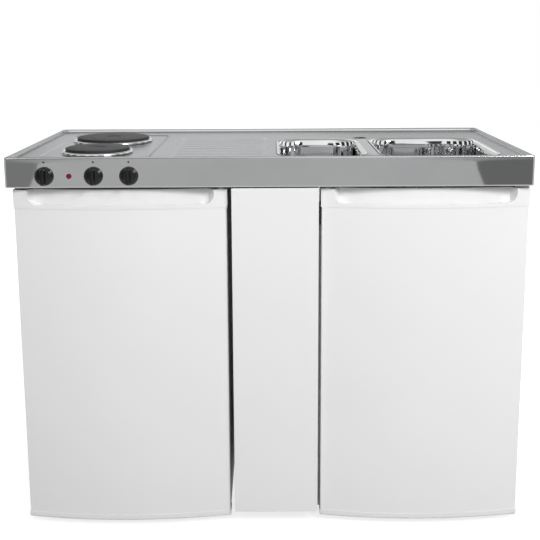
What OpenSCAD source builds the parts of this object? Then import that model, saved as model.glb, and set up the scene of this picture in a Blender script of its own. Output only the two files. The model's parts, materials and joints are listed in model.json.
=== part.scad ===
// Kitchenette: a steel worktop with two hotplates, a drainer and two bowls over
// a built-under refrigerator, a blind panel and a sink cabinet.
// X runs to the right as seen from the front, the doors face -Y, Z is up.
// The origin is on the floor under the middle of the whole unit.
// Depths are counted from the front face of the worktop's fascia (front_y).

/* [Worktop] */
// Width of the steel worktop
top_w = 1200; // [1180:5:1300]
// Depth of the worktop, fascia to wall
top_d = 600; // [590:5:640]
// Height of the rim above the floor
top_z = 900; // [880:5:940]
// Height of the folded fascia
fascia_h = 70; // [66:1:78]
// Height of the rim above the sunken deck
rim_h = 7; // [5:0.5:9]
// Width of the front and side rims
rim_w = 12; // [8:1:16]
// Width of the rear rim
rear_rim_w = 20; // [14:1:30]
// Thickness of the worktop sheet and of the bowls
sheet_t = 1; // [0.8:0.1:1.2]
// Radius of the worktop's four upright corners
corner_r = 6; // [4:0.5:10]
// Diameter of the tap hole
tap_d = 35; // [30:1:36]
// Distance of the tap hole behind the fascia
tap_y = 414; // [405:1:425]

/* [Drainer] */
// Gap between the hob frame and the sunken drainer
drain_gap = 34; // [24:1:50]
// Gap between the drainer and the lip of the half bowl
drain_bowl_gap = 20; // [14:1:36]
// Front edge of the drainer behind the fascia
drain_y0 = 46; // [40:1:60]
// Rear edge of the drainer behind the fascia
drain_y1 = 424; // [400:1:460]
// Depth of the drainer below the deck
drain_sink = 2.5; // [1.5:0.5:3.5]
// Number of pressed ribs
rib_count = 8; // [4:1:10]
// Width of one rib
rib_w = 14; // [8:1:20]

/* [Bowls] */
// Width of the half bowl over its lip
half_w = 214; // [210:1:220]
// Depth of the half bowl over its lip, front to back
half_d = 366; // [340:1:370]
// Height of the half bowl
half_deep = 125; // [100:1:135]
// Width of the flat saddle between the two bowls
saddle_w = 27; // [22:1:34]
// Width of the main bowl over its lip
main_w = 286; // [270:1:300]
// Depth of the main bowl over its lip, front to back
main_d = 380; // [350:1:390]
// Height of the main bowl
main_deep = 145; // [120:1:155]
// Distance of the main bowl's lip from the right end of the worktop
main_in = 55; // [50:1:62]
// Front edge of both bowls behind the fascia
bowl_y0 = 32; // [30:1:36]
// Corner radius of the bowls over the lip
bowl_r = 74; // [70:1:80]
// Radius of the lip that rolls into the bowl
lip_r = 10; // [8:1:12]
// Inward lean of the bowl walls
bowl_lean = 5; // [3:0.5:6]
// Radius between wall and bottom of a bowl
foot_r = 36; // [30:1:38]
// Radius of the waste hole
drain_r = 42; // [40:0.5:44]

/* [Hob] */
// Distance of the pressed hob frame from the left end of the worktop
hob_in = 60; // [50:1:70]
// Width of the hob frame
hob_w = 266; // [256:1:276]
// Front edge of the hob frame behind the fascia
hob_y0 = 42; // [36:1:50]
// Rear edge of the hob frame behind the fascia
hob_y1 = 494; // [480:1:510]
// Diameter of the front hotplate
front_plate_d = 152; // [145:1:156]
// Diameter of the rear hotplate
rear_plate_d = 187; // [180:1:192]
// Distance of the hotplates' middle from the hob frame's left edge
plate_in = 127; // [122:1:134]
// Middle of the front hotplate behind the fascia
front_plate_y = 140; // [136:1:146]
// Middle of the rear hotplate behind the fascia
rear_plate_y = 362; // [358:1:366]
// Height of a hotplate's face above the deck
plate_rise = 13; // [10:1:16]
// Width of the steel spill ring outside the plate
ring_w = 9; // [6:1:10]

/* [Controls] */
// Diameter of a control knob
knob_d = 43; // [38:1:46]
// Reach of a knob in front of the fascia
knob_reach = 24; // [18:1:30]
// Width of the grip bar on a knob
grip_w = 10; // [8:1:14]
// Height of the knob axes below the rim
knob_drop = 43; // [40:1:46]
// Distance of the timer knob from the left end of the worktop
timer_in = 90.5; // [85:0.5:100]
// Distance of the pilot lamp from the left end of the worktop
lamp_in = 146.5; // [140:0.5:154]
// Distance of the front plate's knob from the left end of the worktop
front_knob_in = 202; // [195:0.5:210]
// Distance of the rear plate's knob from the left end of the worktop
rear_knob_in = 282; // [275:0.5:290]
// Diameter of the pilot lamp
lamp_d = 12; // [10:0.5:14]
// Diameter of a switch shaft
shaft_d = 6; // [5:0.5:8]

/* [Doors] */
// Distance of the refrigerator door from the left end of the worktop
fridge_door_in = 13; // [10:1:16]
// Distance of the sink cabinet's door from the right end of the worktop
sink_door_in = 4; // [4:1:8]
// Width of the sink cabinet's door over its trims
sink_door_w = 478; // [468:1:480]
// Gap between the refrigerator door and the blind panel
side_gap = 10; // [8:1:14]
// Gap between the blind panel and the sink cabinet's door
panel_gap = 6; // [5:0.5:8]
// Gap between the fascia and the top of a door
door_gap = 6.5; // [5.5:0.5:9]
// Height of a door's lower edge above the floor
door_z0 = 16; // [14:1:22]
// Setback of a door's side edges behind the fascia
door_set = 16; // [12:1:18]
// Bow of the door front at its middle
door_bow = 22; // [10:1:26]
// Thickness of the refrigerator door at its sides
fridge_door_t = 38; // [36:1:42]
// Thickness of the sink cabinet's door at its sides
sink_door_t = 24; // [22:1:24]
// Height of the top trim with the grip
trim_h = 43; // [38:1:50]
// Height of the bottom trim
foot_trim_h = 14; // [10:1:18]
// Step of the trims beyond the sheet on each side
trim_step = 1.5; // [1:0.5:2.5]
// Distance of the grip recess from the door's ends
grip_inset = 30; // [26:1:36]
// Depth of the grip recess behind the door front
grip_deep = 20; // [16:1:22]
// Height of the lip under the grip recess
grip_lip = 8; // [6:1:12]
// Distance of a hinge pin from the door's edge
pin_in = 12; // [11:0.5:14]
// Diameter of a hinge pin
pin_d = 8; // [6:0.5:9]

/* [Refrigerator] */
// Wall of the refrigerator body, sheet, foam and liner together
fridge_wall = 38; // [34:1:42]
// Height of the refrigerator's underside above the floor
unit_z0 = 24; // [22:1:30]
// Gap between the unit's backs and the rear edge of the worktop
back_gap = 30; // [26:1:40]
// Depth of the compressor niche
niche_d = 190; // [180:1:210]
// Height of the compressor niche
niche_h = 200; // [190:1:215]
// Height of the ice box
ice_h = 120; // [100:1:130]
// Height of the crisper drawer
crisper_h = 150; // [130:1:160]
// Number of glass shelves above the one over the crisper
shelf_count = 2; // [1:1:3]

/* [Sink cabinet] */
// Width of the sink cabinet; the refrigerator takes the rest of the worktop's width
cabinet_w = 680; // [674:1:690]
// Height of the blind panel's lower edge above the floor
panel_z0 = 33; // [28:1:40]
// Thickness of the cabinet's boards
board_t = 16; // [15:1:19]
// Outer diameter of the waste pipe
pipe_d = 40; // [38:1:42]

/* [Hidden] */

$fn = 48;
eps = 0.01;          // overlap of a cut past a face
seat = 0.3;          // gap between pieces that only lie against each other
run_fit = 0.05;      // radial clearance of a turning pin or shaft
weld_gap = 0.1;      // gap between a bowl's lip and the deck round it

front_y = (knob_reach - top_d) / 2;
back_y = front_y + top_d;
deck_z = top_z - rim_h;
deck_low = deck_z - sheet_t;
fascia_z = top_z - fascia_h;
knob_z = top_z - knob_drop;

// the deck inside the rims
deck_w = top_w - 2 * rim_w;
deck_y0 = front_y + rim_w;
deck_y1 = back_y - rear_rim_w;
deck_r = 14;

// doors and cabinets
door_z1 = fascia_z - door_gap;
unit_z1 = door_z1 + 0.5;
sink_door_x1 = top_w / 2 - sink_door_in;
sink_door_x0 = sink_door_x1 - sink_door_w;
cabinet_x1 = sink_door_x1 - trim_step - 1.5;
cabinet_x0 = cabinet_x1 - cabinet_w;
panel_x1 = sink_door_x0 - panel_gap;
fridge_door_x0 = fridge_door_in - top_w / 2;
fridge_door_x1 = cabinet_x0 - side_gap;
fridge_x0 = fridge_door_x0 + trim_step;
fridge_x1 = fridge_door_x1 - trim_step;
door_y = front_y + door_set;
fridge_door_y1 = door_y + fridge_door_t;
sink_door_y1 = door_y + sink_door_t;
seal_t = 10;
fridge_y0 = fridge_door_y1 + seal_t;
cabinet_y0 = sink_door_y1 + 7;
unit_y1 = back_y - back_gap;
fridge_pin_x = fridge_door_x0 + pin_in;
fridge_pin_y = door_y + fridge_door_t / 2;
sink_pin_x = sink_door_x1 - pin_in;
sink_pin_y = door_y + sink_door_t / 2;
bracket_t = 3;
skin_t = 1;
trim_z = door_z1 - trim_h;
skin_z0 = door_z0 + foot_trim_h;

// inside of the refrigerator
liner_t = 2;
shell_t = 1.5;
cave_x0 = fridge_x0 + fridge_wall;
cave_x1 = fridge_x1 - fridge_wall;
cave_x = (cave_x0 + cave_x1) / 2;
cave_y1 = unit_y1 - fridge_wall;
cave_z0 = unit_z0 + fridge_wall + 8;
cave_z1 = unit_z1 - fridge_wall;
step_y = unit_y1 - niche_d - fridge_wall;
step_z = unit_z0 + niche_h + fridge_wall;
inner_y0 = fridge_y0 + 62;      // front of the shelves and of the crisper drawer
ice_set = 152;                  // the ice box stands back, so that its flap can swing up
ice_z1 = cave_z1 - 4;
ice_z0 = ice_z1 - ice_h;
stat_h = 56;                    // height of the thermostat's housing under the ice box
stat_z = ice_z0 - 18 - stat_h / 2;
ledge_w = 8;
crisper_gap = 3;
bin_h = 70;
bin_d = 50;

// bowls, tap and refuse water
main_x = top_w / 2 - main_in - main_w / 2;
tap_x = main_x - main_w / 2 - saddle_w / 2;
half_x = tap_x - saddle_w / 2 - half_w / 2;
half_y = bowl_y0 + half_d / 2;
main_y = bowl_y0 + main_d / 2;
waste_y = front_y + half_y;
half_z0 = deck_z - half_deep;
main_z0 = deck_z - main_deep;
recess_r = drain_r + 10.5;      // pressed recess round the waste hole
recess_deep = 2;
bowl_foot = min(foot_r, min(half_w, main_w) / 2 - lip_r - bowl_lean - recess_r - 1.5);
waste_len = 48;
pipe_z = main_z0 - waste_len - 34;
pipe_wall = 2;
trap_r = 34;
trap_z1 = pipe_z - 26;
trap_h = 90;
cup_h = 46;

// hob and drainer
hob_x0 = hob_in - top_w / 2;
hob_x1 = hob_x0 + hob_w;
plate_x = hob_x0 + plate_in;
drain_x0 = hob_x1 + drain_gap;
drain_x1 = half_x - half_w / 2 - drain_bowl_gap;
timer_x = timer_in - top_w / 2;
lamp_x = lamp_in - top_w / 2;
front_knob_x = front_knob_in - top_w / 2;
rear_knob_x = rear_knob_in - top_w / 2;
tray_y0 = front_y + 44;
tray_y1 = front_y + rear_plate_y + rear_plate_d / 2 + 30;
tray_x0 = hob_x0 - 6;
tray_x1 = hob_x1 + 10;
tray_z0 = fascia_z + 4;
opening_in = 6;
seat_rise = 2.5;      // pressed seat of a hotplate above the deck
ring_t = 3;           // height of the spill ring under the plate's rim
stud_r = 3;
stud_len = 34;
gland_x = tray_x1 - 50;
gland_z = tray_z0 + 22;
gland_r = 8;
cable_r = 4;

// ---------------------------------------------------------------- helpers

// outline of a rounded rectangle round (cx, cy), with m steps per corner
function rounded(w, d, r, cx = 0, cy = 0, m = 8) = [
  for (k = [0:3]) for (i = [0:m])
    let (a = 90 * k + 90 * i / m,
         sx = (k == 0 || k == 3) ? 1 : -1,
         sy = k < 2 ? 1 : -1)
    [cx + sx * (w / 2 - r) + r * cos(a), cy + sy * (d / 2 - r) + r * sin(a)]
];

function lift(outline, z) = [for (p = outline) [p[0], p[1], z]];

// depth of the bowed door front at x for a door from x0 to x1
function bow_y(x, x0, x1) =
  let (u = (2 * x - x0 - x1) / (x1 - x0)) door_y - door_bow * (1 - u * u);

// plan of a bowed door slice, moved in from the full plan by in on the front
function bowed(x0, x1, y1, full0, full1, in = 0, n = 32) = concat(
  [for (i = [0:n]) let (x = x0 + (x1 - x0) * i / n) [x, bow_y(x, full0, full1) + in]],
  [[x1, y1], [x0, y1]]
);

module slab(outline, z0, z1) translate([0, 0, z0]) linear_extrude(z1 - z0) polygon(outline);

module block(a, b) translate(a) cube(b - a);

// a profile drawn in (y, z), pulled along X
module along_x(x0, x1) translate([x0, 0, 0]) rotate([90, 0, 90]) linear_extrude(x1 - x0) children();

// a round bar along Y
module bar_y(x, z, r, y0, y1) translate([x, y1, z]) rotate([90, 0, 0]) cylinder(r = r, h = y1 - y0);

// a closed shell of equal rings, the last joined to the first
module ring_shell(rings) {
  n = len(rings[0]);
  m = len(rings);
  polyhedron(
    points = [for (ring = rings) for (p = ring) p],
    faces = [
      for (i = [0:m - 1]) for (j = [0:n - 1]) for (half = [0, 1])
        let (a = i * n + j, b = ((i + 1) % m) * n + j,
             c = ((i + 1) % m) * n + (j + 1) % n, d = i * n + (j + 1) % n)
        half == 0 ? [a, b, c] : [a, c, d]
    ]
  );
}

// ---------------------------------------------------------------- worktop

module fascia_hole(x, d) bar_y(x, knob_z, d / 2, front_y - 1, front_y + 4);

module lip_outline(x, y, w, d, grow, z0, z1)
  slab(rounded(w + 2 * grow, d + 2 * grow, bowl_r + grow, x, front_y + y), z0, z1);

module worktop() color([0.74, 0.75, 0.76]) {
  mid_y = (deck_y0 + deck_y1) / 2;
  deck_d = deck_y1 - deck_y0;
  drain_w = drain_x1 - drain_x0;
  drain_d = drain_y1 - drain_y0;
  drain_cx = (drain_x0 + drain_x1) / 2;
  drain_cy = front_y + (drain_y0 + drain_y1) / 2;
  hob_cx = (hob_x0 + hob_x1) / 2;
  hob_cy = front_y + (hob_y0 + hob_y1) / 2;
  hob_d = hob_y1 - hob_y0;
  difference() {
    union() {
      difference() {
        slab(rounded(top_w, top_d, corner_r, 0, (front_y + back_y) / 2), fascia_z, top_z);
        // hollow under the deck, and hollow rims
        slab(rounded(top_w - 2 * sheet_t, top_d - 2 * sheet_t, corner_r - sheet_t,
                     0, (front_y + back_y) / 2), fascia_z - 1, deck_low);
        difference() {
          slab(rounded(top_w - 2 * sheet_t, top_d - 2 * sheet_t, corner_r - sheet_t,
                       0, (front_y + back_y) / 2), deck_low - 1, top_z - sheet_t);
          slab(rounded(deck_w + 2 * sheet_t, deck_d + 2 * sheet_t, deck_r + sheet_t, 0, mid_y),
               deck_low - 2, top_z);
        }
        // sunken deck
        slab(rounded(deck_w, deck_d, deck_r, 0, mid_y), deck_z, top_z + 1);
        // the rear fold is shorter than the fascia
        block([-top_w / 2 - 1, back_y - 2 * sheet_t, fascia_z - 1],
              [top_w / 2 + 1, back_y + 1, top_z - 30]);
        slab(rounded(drain_w, drain_d, 18, drain_cx, drain_cy), deck_low - 1, deck_z + 1);
      }
      // fold under the fascia
      block([-top_w / 2 + corner_r, front_y + sheet_t / 2, fascia_z],
            [top_w / 2 - corner_r, front_y + 13, fascia_z + sheet_t]);
      // the drainer's pan and its ribs
      difference() {
        slab(rounded(drain_w + 2 * sheet_t, drain_d + 2 * sheet_t, 18 + sheet_t,
                     drain_cx, drain_cy), deck_low - drain_sink, deck_z);
        slab(rounded(drain_w, drain_d, 18, drain_cx, drain_cy), deck_z - drain_sink, deck_z + 1);
      }
      for (i = [0:rib_count - 1]) {
        y = front_y + drain_y0 + drain_d * (i + 0.5) / rib_count;
        z = deck_z - drain_sink - sheet_t / 2;
        along_x(drain_x0 + 10, drain_x1 - 6)
          polygon([[y - rib_w / 2, z], [y + rib_w / 2, z], [y + rib_w / 5, deck_z], [y - rib_w / 5, deck_z]]);
      }
      // raised frame round the hob field
      difference() {
        slab(rounded(hob_w, hob_d, 26, hob_cx, hob_cy), deck_low + sheet_t / 2, deck_z + 2);
        slab(rounded(hob_w - 12, hob_d - 12, 20, hob_cx, hob_cy), deck_low - 1, deck_z + 3);
      }
      // pressed seats of the hotplates
      for (p = [[front_plate_y, front_plate_d], [rear_plate_y, rear_plate_d]])
        translate([plate_x, front_y + p[0], deck_low + sheet_t / 2])
          cylinder(r = p[1] / 2 + ring_w + 1.5, h = seat_rise + sheet_t / 2, $fn = 96);
    }
    for (p = [[front_plate_y, front_plate_d], [rear_plate_y, rear_plate_d]])
      translate([plate_x, front_y + p[0], deck_low - 5])
        cylinder(r = p[1] / 2 - opening_in, h = 20, $fn = 96);
    lip_outline(half_x, half_y, half_w, half_d, weld_gap, deck_low - 5, deck_z + 1);
    lip_outline(main_x, main_y, main_w, main_d, weld_gap, deck_low - 5, deck_z + 1);
    translate([tap_x, front_y + tap_y, deck_low - 5]) cylinder(r = tap_d / 2, h = 20);
    for (x = [timer_x, front_knob_x, rear_knob_x]) fascia_hole(x, shaft_d + 4);
    fascia_hole(lamp_x, lamp_d - 2);
  }
}

// wooden battens that stiffen the sheet and rest on the two cabinets
rail_y0 = front_y + 18;
rail_y1 = unit_y1 - 2;
notch_y = fridge_y0 + 60;
middle_rail_x0 = fridge_x1 - 20;
middle_rail_x1 = cabinet_x0 + board_t;

module side_batten(x0, x1, z1) difference() {
  block([x0, rail_y0, unit_z1], [x1, rail_y1, z1]);
  block([x0 - 1, rail_y0 - 1, unit_z1 - 1], [x1 + 1, notch_y, unit_z1 + bracket_t + seat]);
}

module worktop_frame() color([0.78, 0.66, 0.48]) {
  side_x = top_w / 2 - sheet_t - seat;
  inner_x = side_x - 22;
  side_batten(-side_x, -inner_x, deck_low);
  side_batten(inner_x, side_x, deck_low);
  side_batten(middle_rail_x0, middle_rail_x1, deck_low - drain_sink);
  // rear battens, the left one in two lengths with the supply cable's way out between them
  cable_way = gland_r + 1;
  for (x = [[-inner_x, gland_x - cable_way], [gland_x + cable_way, middle_rail_x0],
            [middle_rail_x1, inner_x]])
    block([x[0], rail_y1 - 20, unit_z1], [x[1], rail_y1, deck_low]);
}

// ------------------------------------------------------------------ bowls

// profile of the inner face as [outset, z], from the lip to the bottom
function bowl_profile(z0, t) = concat(
  [for (i = [0:3]) let (a = 90 + 30 * i, r = lip_r - t) [r * cos(a), deck_z - lip_r + r * sin(a)]],
  [for (i = [0:4]) let (a = -22.5 * i, r = bowl_foot + t)
    [-lip_r - bowl_lean - bowl_foot + r * cos(a), z0 + bowl_foot + r * sin(a)]]
);

module bowl(x, y, w, d, z0) {
  inner = bowl_profile(z0, 0);
  outer = bowl_profile(z0, sheet_t);
  low = z0 - recess_deep;
  function ring(p) = lift(rounded(w + 2 * p[0], d + 2 * p[0], bowl_r + p[0], x, front_y + y), p[1]);
  function round_ring(r, z) = lift(rounded(2 * r, 2 * r, r - eps, x, waste_y), z);
  ring_shell(concat(
    [for (p = inner) ring(p)],
    [round_ring(recess_r, z0), round_ring(recess_r - 1, low), round_ring(drain_r, low),
     round_ring(drain_r, low - sheet_t), round_ring(recess_r, low - sheet_t),
     round_ring(recess_r + 1, z0 - sheet_t)],
    [for (i = [len(outer) - 1:-1:0]) ring(outer[i])]
  ));
}

module half_bowl() color([0.82, 0.83, 0.84]) bowl(half_x, half_y, half_w, half_d, half_z0);

module main_bowl() color([0.82, 0.83, 0.84]) bowl(main_x, main_y, main_w, main_d, main_z0);

// pot of a waste, hanging in the bowl's hole by its flange
module waste_pot(x, z0) translate([x, waste_y, z0 - recess_deep]) rotate_extrude($fn = 72) {
  r = drain_r - 0.5;
  rim = recess_r - 2;
  polygon([[r - 4, -26], [r - 4, -2], [r + 4, seat + 1.6], [rim, seat + 1.6], [rim, seat],
           [r, seat], [r, -28], [pipe_d / 2 - 1, -30], [pipe_d / 2 - 1, -waste_len],
           [pipe_d / 2 - 3, -waste_len], [pipe_d / 2 - 3, -26]]);
}

module bowl_wastes() color([0.7, 0.71, 0.72]) {
  waste_pot(half_x, half_z0);
  waste_pot(main_x, main_z0);
}

// loose basket with a centre knob, standing in the pot
module strainer(x, z0) translate([x, waste_y, z0 - recess_deep]) difference() {
  rotate_extrude($fn = 72)
    polygon([[0, -25.7], [drain_r - 14, -25.7], [drain_r - 6, -8], [drain_r - 6, -5],
             [drain_r - 8, -5], [drain_r - 15.5, -23.7], [5, -23.7], [5, -6], [8, -3], [8, 2],
             [5, 4], [0, 4]]);
  for (a = [0:45:315]) rotate(a) translate([(drain_r - 6) / 2 + 1, 0, -27]) cylinder(r = 3, h = 5);
}

module half_bowl_strainer() color([0.75, 0.76, 0.77]) strainer(half_x, half_z0);

module main_bowl_strainer() color([0.75, 0.76, 0.77]) strainer(main_x, main_z0);

pot_drop = recess_deep + 33;    // from a bowl's bottom to the pipe's mouth under the pot

// pipe from the half bowl's waste across to the main bowl's, over the trap
module pipe_body(grow) {
  r = pipe_d / 2 + grow;
  translate([half_x, waste_y, pipe_z]) rotate([0, 90, 0]) cylinder(r = r - 1.5, h = main_x - half_x);
  translate([half_x, waste_y, pipe_z - r]) cylinder(r = r, h = half_z0 - pot_drop - pipe_z + r);
  translate([main_x, waste_y, trap_z1 - 4]) cylinder(r = r, h = main_z0 - pot_drop - trap_z1 + 4);
}

module waste_pipe() color([0.93, 0.93, 0.92]) difference() {
  pipe_body(1.6);
  r = pipe_d / 2;
  translate([half_x, waste_y, pipe_z]) rotate([0, 90, 0]) cylinder(r = r - 3, h = main_x - half_x);
  translate([half_x, waste_y, pipe_z - r + 2]) cylinder(r = r - 0.6, h = half_z0 - pipe_z);
  translate([main_x, waste_y, trap_z1 - 5]) cylinder(r = r - 0.6, h = main_z0 - trap_z1);
}

module bottle_trap() color([0.93, 0.93, 0.92]) difference() {
  union() {
    translate([main_x, waste_y, trap_z1 - trap_h]) cylinder(r = trap_r, h = trap_h - 4 - seat);
    bar_y(main_x, trap_z1 - 30, pipe_d / 2 + 2, waste_y + trap_r - 8, waste_y + trap_r + 22);
  }
  translate([main_x, waste_y, trap_z1 - trap_h - 1]) cylinder(r = trap_r - 3, h = trap_h - 9);
  bar_y(main_x, trap_z1 - 30, pipe_d / 2 + seat / 2, waste_y + 10, waste_y + trap_r + 23);
  translate([main_x, waste_y, trap_z1 - 12]) cylinder(r = pipe_d / 2 - 4, h = 20);
}

module trap_cup() color([0.88, 0.88, 0.87]) translate([main_x, waste_y, trap_z1 - trap_h - cup_h])
  difference() {
    cylinder(r = trap_r + 4, h = cup_h + 16);
    translate([0, 0, 3]) cylinder(r = trap_r - 2, h = cup_h);
    translate([0, 0, cup_h]) cylinder(r = trap_r + seat, h = 20);
    for (a = [0:30:330]) rotate(a) translate([trap_r + 6, 0, -1]) cylinder(r = 4, h = 14);
  }

module outlet_pipe() color([0.93, 0.93, 0.92]) difference() {
  bar_y(main_x, trap_z1 - 30, pipe_d / 2, waste_y + trap_r, back_y - 4);
  bar_y(main_x, trap_z1 - 30, pipe_d / 2 - pipe_wall, waste_y + trap_r - 1, back_y - 3);
}

// -------------------------------------------------------------------- hob

// cast plate with a dished middle, a skirt through the deck and one stud
module hotplate(y, d) translate([plate_x, front_y + y, deck_z]) {
  r = d / 2;
  rotate_extrude($fn = 96)
    polygon([[0, plate_rise - 1.5], [18, plate_rise - 1.5], [22, plate_rise], [r - 2.5, plate_rise],
             [r, plate_rise - 2.5], [r, seat_rise + ring_t], [r - 9, seat_rise + ring_t], [r - 9, -7],
             [r - 14, -7], [r - 14, 2], [9, 2], [9, -8], [stud_r, -8], [stud_r, -stud_len],
             [0, -stud_len]]);
}

module front_hotplate() color([0.2, 0.2, 0.21]) hotplate(front_plate_y, front_plate_d);

module rear_hotplate() color([0.2, 0.2, 0.21]) hotplate(rear_plate_y, rear_plate_d);

module spill_rings() color([0.85, 0.86, 0.87])
  for (p = [[front_plate_y, front_plate_d / 2], [rear_plate_y, rear_plate_d / 2]])
    translate([plate_x, front_y + p[0], deck_z + seat_rise]) rotate_extrude($fn = 96)
      polygon([[p[1] - 7, 0], [p[1] - 7, ring_t - seat], [p[1] + 1.5, ring_t - seat],
               [p[1] + 5, ring_t + 1.4], [p[1] + ring_w - 1, ring_t], [p[1] + ring_w, 0]]);

// a bent bar pulls each plate down by its stud against the deck's underside
module hotplate_clamps() color([0.6, 0.6, 0.62])
  for (p = [[front_plate_y, front_plate_d / 2], [rear_plate_y, rear_plate_d / 2]])
    translate([plate_x, front_y + p[0], 0]) {
      far = p[1] + 6;
      low = deck_z - 26;
      difference() {
        translate([0, 10, 0]) rotate([90, 0, 0]) linear_extrude(20)
          polygon([[-far, low], [far, low], [far, deck_low], [far - 2, deck_low], [far - 2, low + 2],
                   [-far + 2, low + 2], [-far + 2, deck_low], [-far, deck_low]]);
        translate([0, 0, low - 1]) cylinder(r = stud_r + seat, h = 4);
      }
      difference() {
        translate([0, 0, low - 5]) cylinder(r = 6, h = 5, $fn = 6);
        translate([0, 0, low - 6]) cylinder(r = stud_r + run_fit, h = 7);
      }
    }

vent_count = 6;
vent_pitch = 34;
vent_w = 8;
vent_len = 80;

// sheet tray under the hob, vented at its front
module hob_tray() color([0.68, 0.69, 0.7]) difference() {
  block([tray_x0, tray_y0, tray_z0], [tray_x1, tray_y1, deck_low]);
  block([tray_x0 + sheet_t, tray_y0 + sheet_t, tray_z0 + sheet_t],
        [tray_x1 - sheet_t, tray_y1 - sheet_t, deck_z]);
  bar_y(gland_x, gland_z, gland_r + seat, tray_y1 - 4, tray_y1 + 1);
  for (i = [0:vent_count - 1])
    let (x = (tray_x0 + tray_x1) / 2 + vent_pitch * (i - (vent_count - 1) / 2))
    block([x - vent_w / 2, tray_y0 + 60, tray_z0 - 1],
          [x + vent_w / 2, tray_y0 + 60 + vent_len, tray_z0 + 2]);
}

switch_w = 36;
switch_y0 = front_y + 5;
switch_y1 = tray_y0 - 6;

module switch_bodies() color([0.86, 0.84, 0.78])
  for (x = [timer_x, front_knob_x, rear_knob_x]) difference() {
    union() {
      block([x - switch_w / 2, switch_y0, knob_z - switch_w / 2],
            [x + switch_w / 2, switch_y1, knob_z + switch_w / 2]);
      bar_y(x, knob_z, 9, front_y + sheet_t, front_y + 6);
    }
    bar_y(x, knob_z, shaft_d / 2 + run_fit, front_y - 1, front_y + 26);
  }

// a turned skirt with a bar across it
module knob(x) difference() {
  union() {
    translate([x, front_y - 0.8, knob_z]) rotate([90, 0, 0]) rotate_extrude($fn = 72)
      polygon([[0, 0], [knob_d / 2, 0], [knob_d / 2, 3], [knob_d / 2 - 2, 8], [knob_d / 2 - 5, 10], [0, 10]]);
    intersection() {
      block([x - grip_w / 2, front_y - knob_reach, knob_z - knob_d / 2],
            [x + grip_w / 2, front_y - 6, knob_z + knob_d / 2]);
      bar_y(x, knob_z, knob_d / 2 - 2.5, front_y - knob_reach - 1, front_y - 5);
    }
  }
  bar_y(x, knob_z, shaft_d / 2 + run_fit, front_y - 15, front_y);
}

module timer_knob() color([0.06, 0.06, 0.07]) knob(timer_x);

module front_plate_knob() color([0.06, 0.06, 0.07]) knob(front_knob_x);

module rear_plate_knob() color([0.06, 0.06, 0.07]) knob(rear_knob_x);

module shaft(x) bar_y(x, knob_z, shaft_d / 2, front_y - 15 + seat, front_y + 26 - seat);

module timer_shaft() color([0.72, 0.72, 0.74]) shaft(timer_x);

module front_plate_shaft() color([0.72, 0.72, 0.74]) shaft(front_knob_x);

module rear_plate_shaft() color([0.72, 0.72, 0.74]) shaft(rear_knob_x);

module pilot_lamp() color([0.55, 0.05, 0.05]) translate([lamp_x, front_y, knob_z]) rotate([90, 0, 0])
  rotate_extrude()
    polygon([[0, -18], [4, -18], [4, -6], [lamp_d / 2 - 1.1, -6], [lamp_d / 2 - 1.1, 0], [lamp_d / 2, 0],
             [lamp_d / 2, 1.5], [lamp_d / 2 - 1.2, 3], [0, 3.8]]);

dot_z = top_z - 11;

module index_dots() color([0.05, 0.05, 0.05])
  for (x = [timer_x, front_knob_x, rear_knob_x]) bar_y(x, dot_z, 2.2, front_y - 0.3, front_y);

module terminal_box() color([0.2, 0.2, 0.22]) {
  x1 = gland_x + 28;
  difference() {
    block([x1 - 56, tray_y1 - 46, tray_z0 + sheet_t], [x1, tray_y1 - 8, tray_z0 + 34]);
    block([x1 - 53, tray_y1 - 43, tray_z0 + 4], [x1 - 3, tray_y1 - 11, tray_z0 + 31]);
    bar_y(gland_x, gland_z, cable_r, tray_y1 - 20, tray_y1);
  }
  difference() {
    bar_y(gland_x, gland_z, gland_r, tray_y1 - 8 - eps, tray_y1 + 14);
    bar_y(gland_x, gland_z, cable_r, tray_y1 - 20, tray_y1 + 15);
  }
}

// ----------------------------------------------------------- refrigerator

// side view of the inside, with the step over the compressor, grown by g
module cave_side(g) polygon([
  [fridge_y0 - 1, cave_z0 - g], [step_y + g, cave_z0 - g], [step_y + g, step_z - g],
  [cave_y1 + g, step_z - g], [cave_y1 + g, cave_z1 + g], [fridge_y0 - 1, cave_z1 + g]
]);

module fridge_cabinet() color([0.93, 0.93, 0.92]) difference() {
  block([fridge_x0, fridge_y0, unit_z0], [fridge_x1, unit_y1 - 2, unit_z1]);
  block([fridge_x0 + shell_t, fridge_y0 - 1, unit_z0 + shell_t],
        [fridge_x1 - shell_t, unit_y1, unit_z1 - shell_t]);
}

module fridge_insulation() color([0.93, 0.87, 0.66]) difference() {
  block([fridge_x0 + shell_t, fridge_y0 + 4, unit_z0 + shell_t],
        [fridge_x1 - shell_t, unit_y1 - 2, unit_z1 - shell_t]);
  along_x(cave_x0 - liner_t, cave_x1 + liner_t) cave_side(liner_t);
  block([fridge_x0 + 20, unit_y1 - niche_d, unit_z0], [fridge_x1 - 20, unit_y1 + 1, unit_z0 + niche_h]);
}

// shelves between the crisper and the thermostat's housing
shelf_z0 = cave_z0 + crisper_h + crisper_gap + 6;
shelf_z1 = stat_z - stat_h / 2 - 12;
ledge_z = [for (i = [0:shelf_count]) shelf_z0 + (shelf_z1 - shelf_z0) * i / shelf_count];

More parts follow.
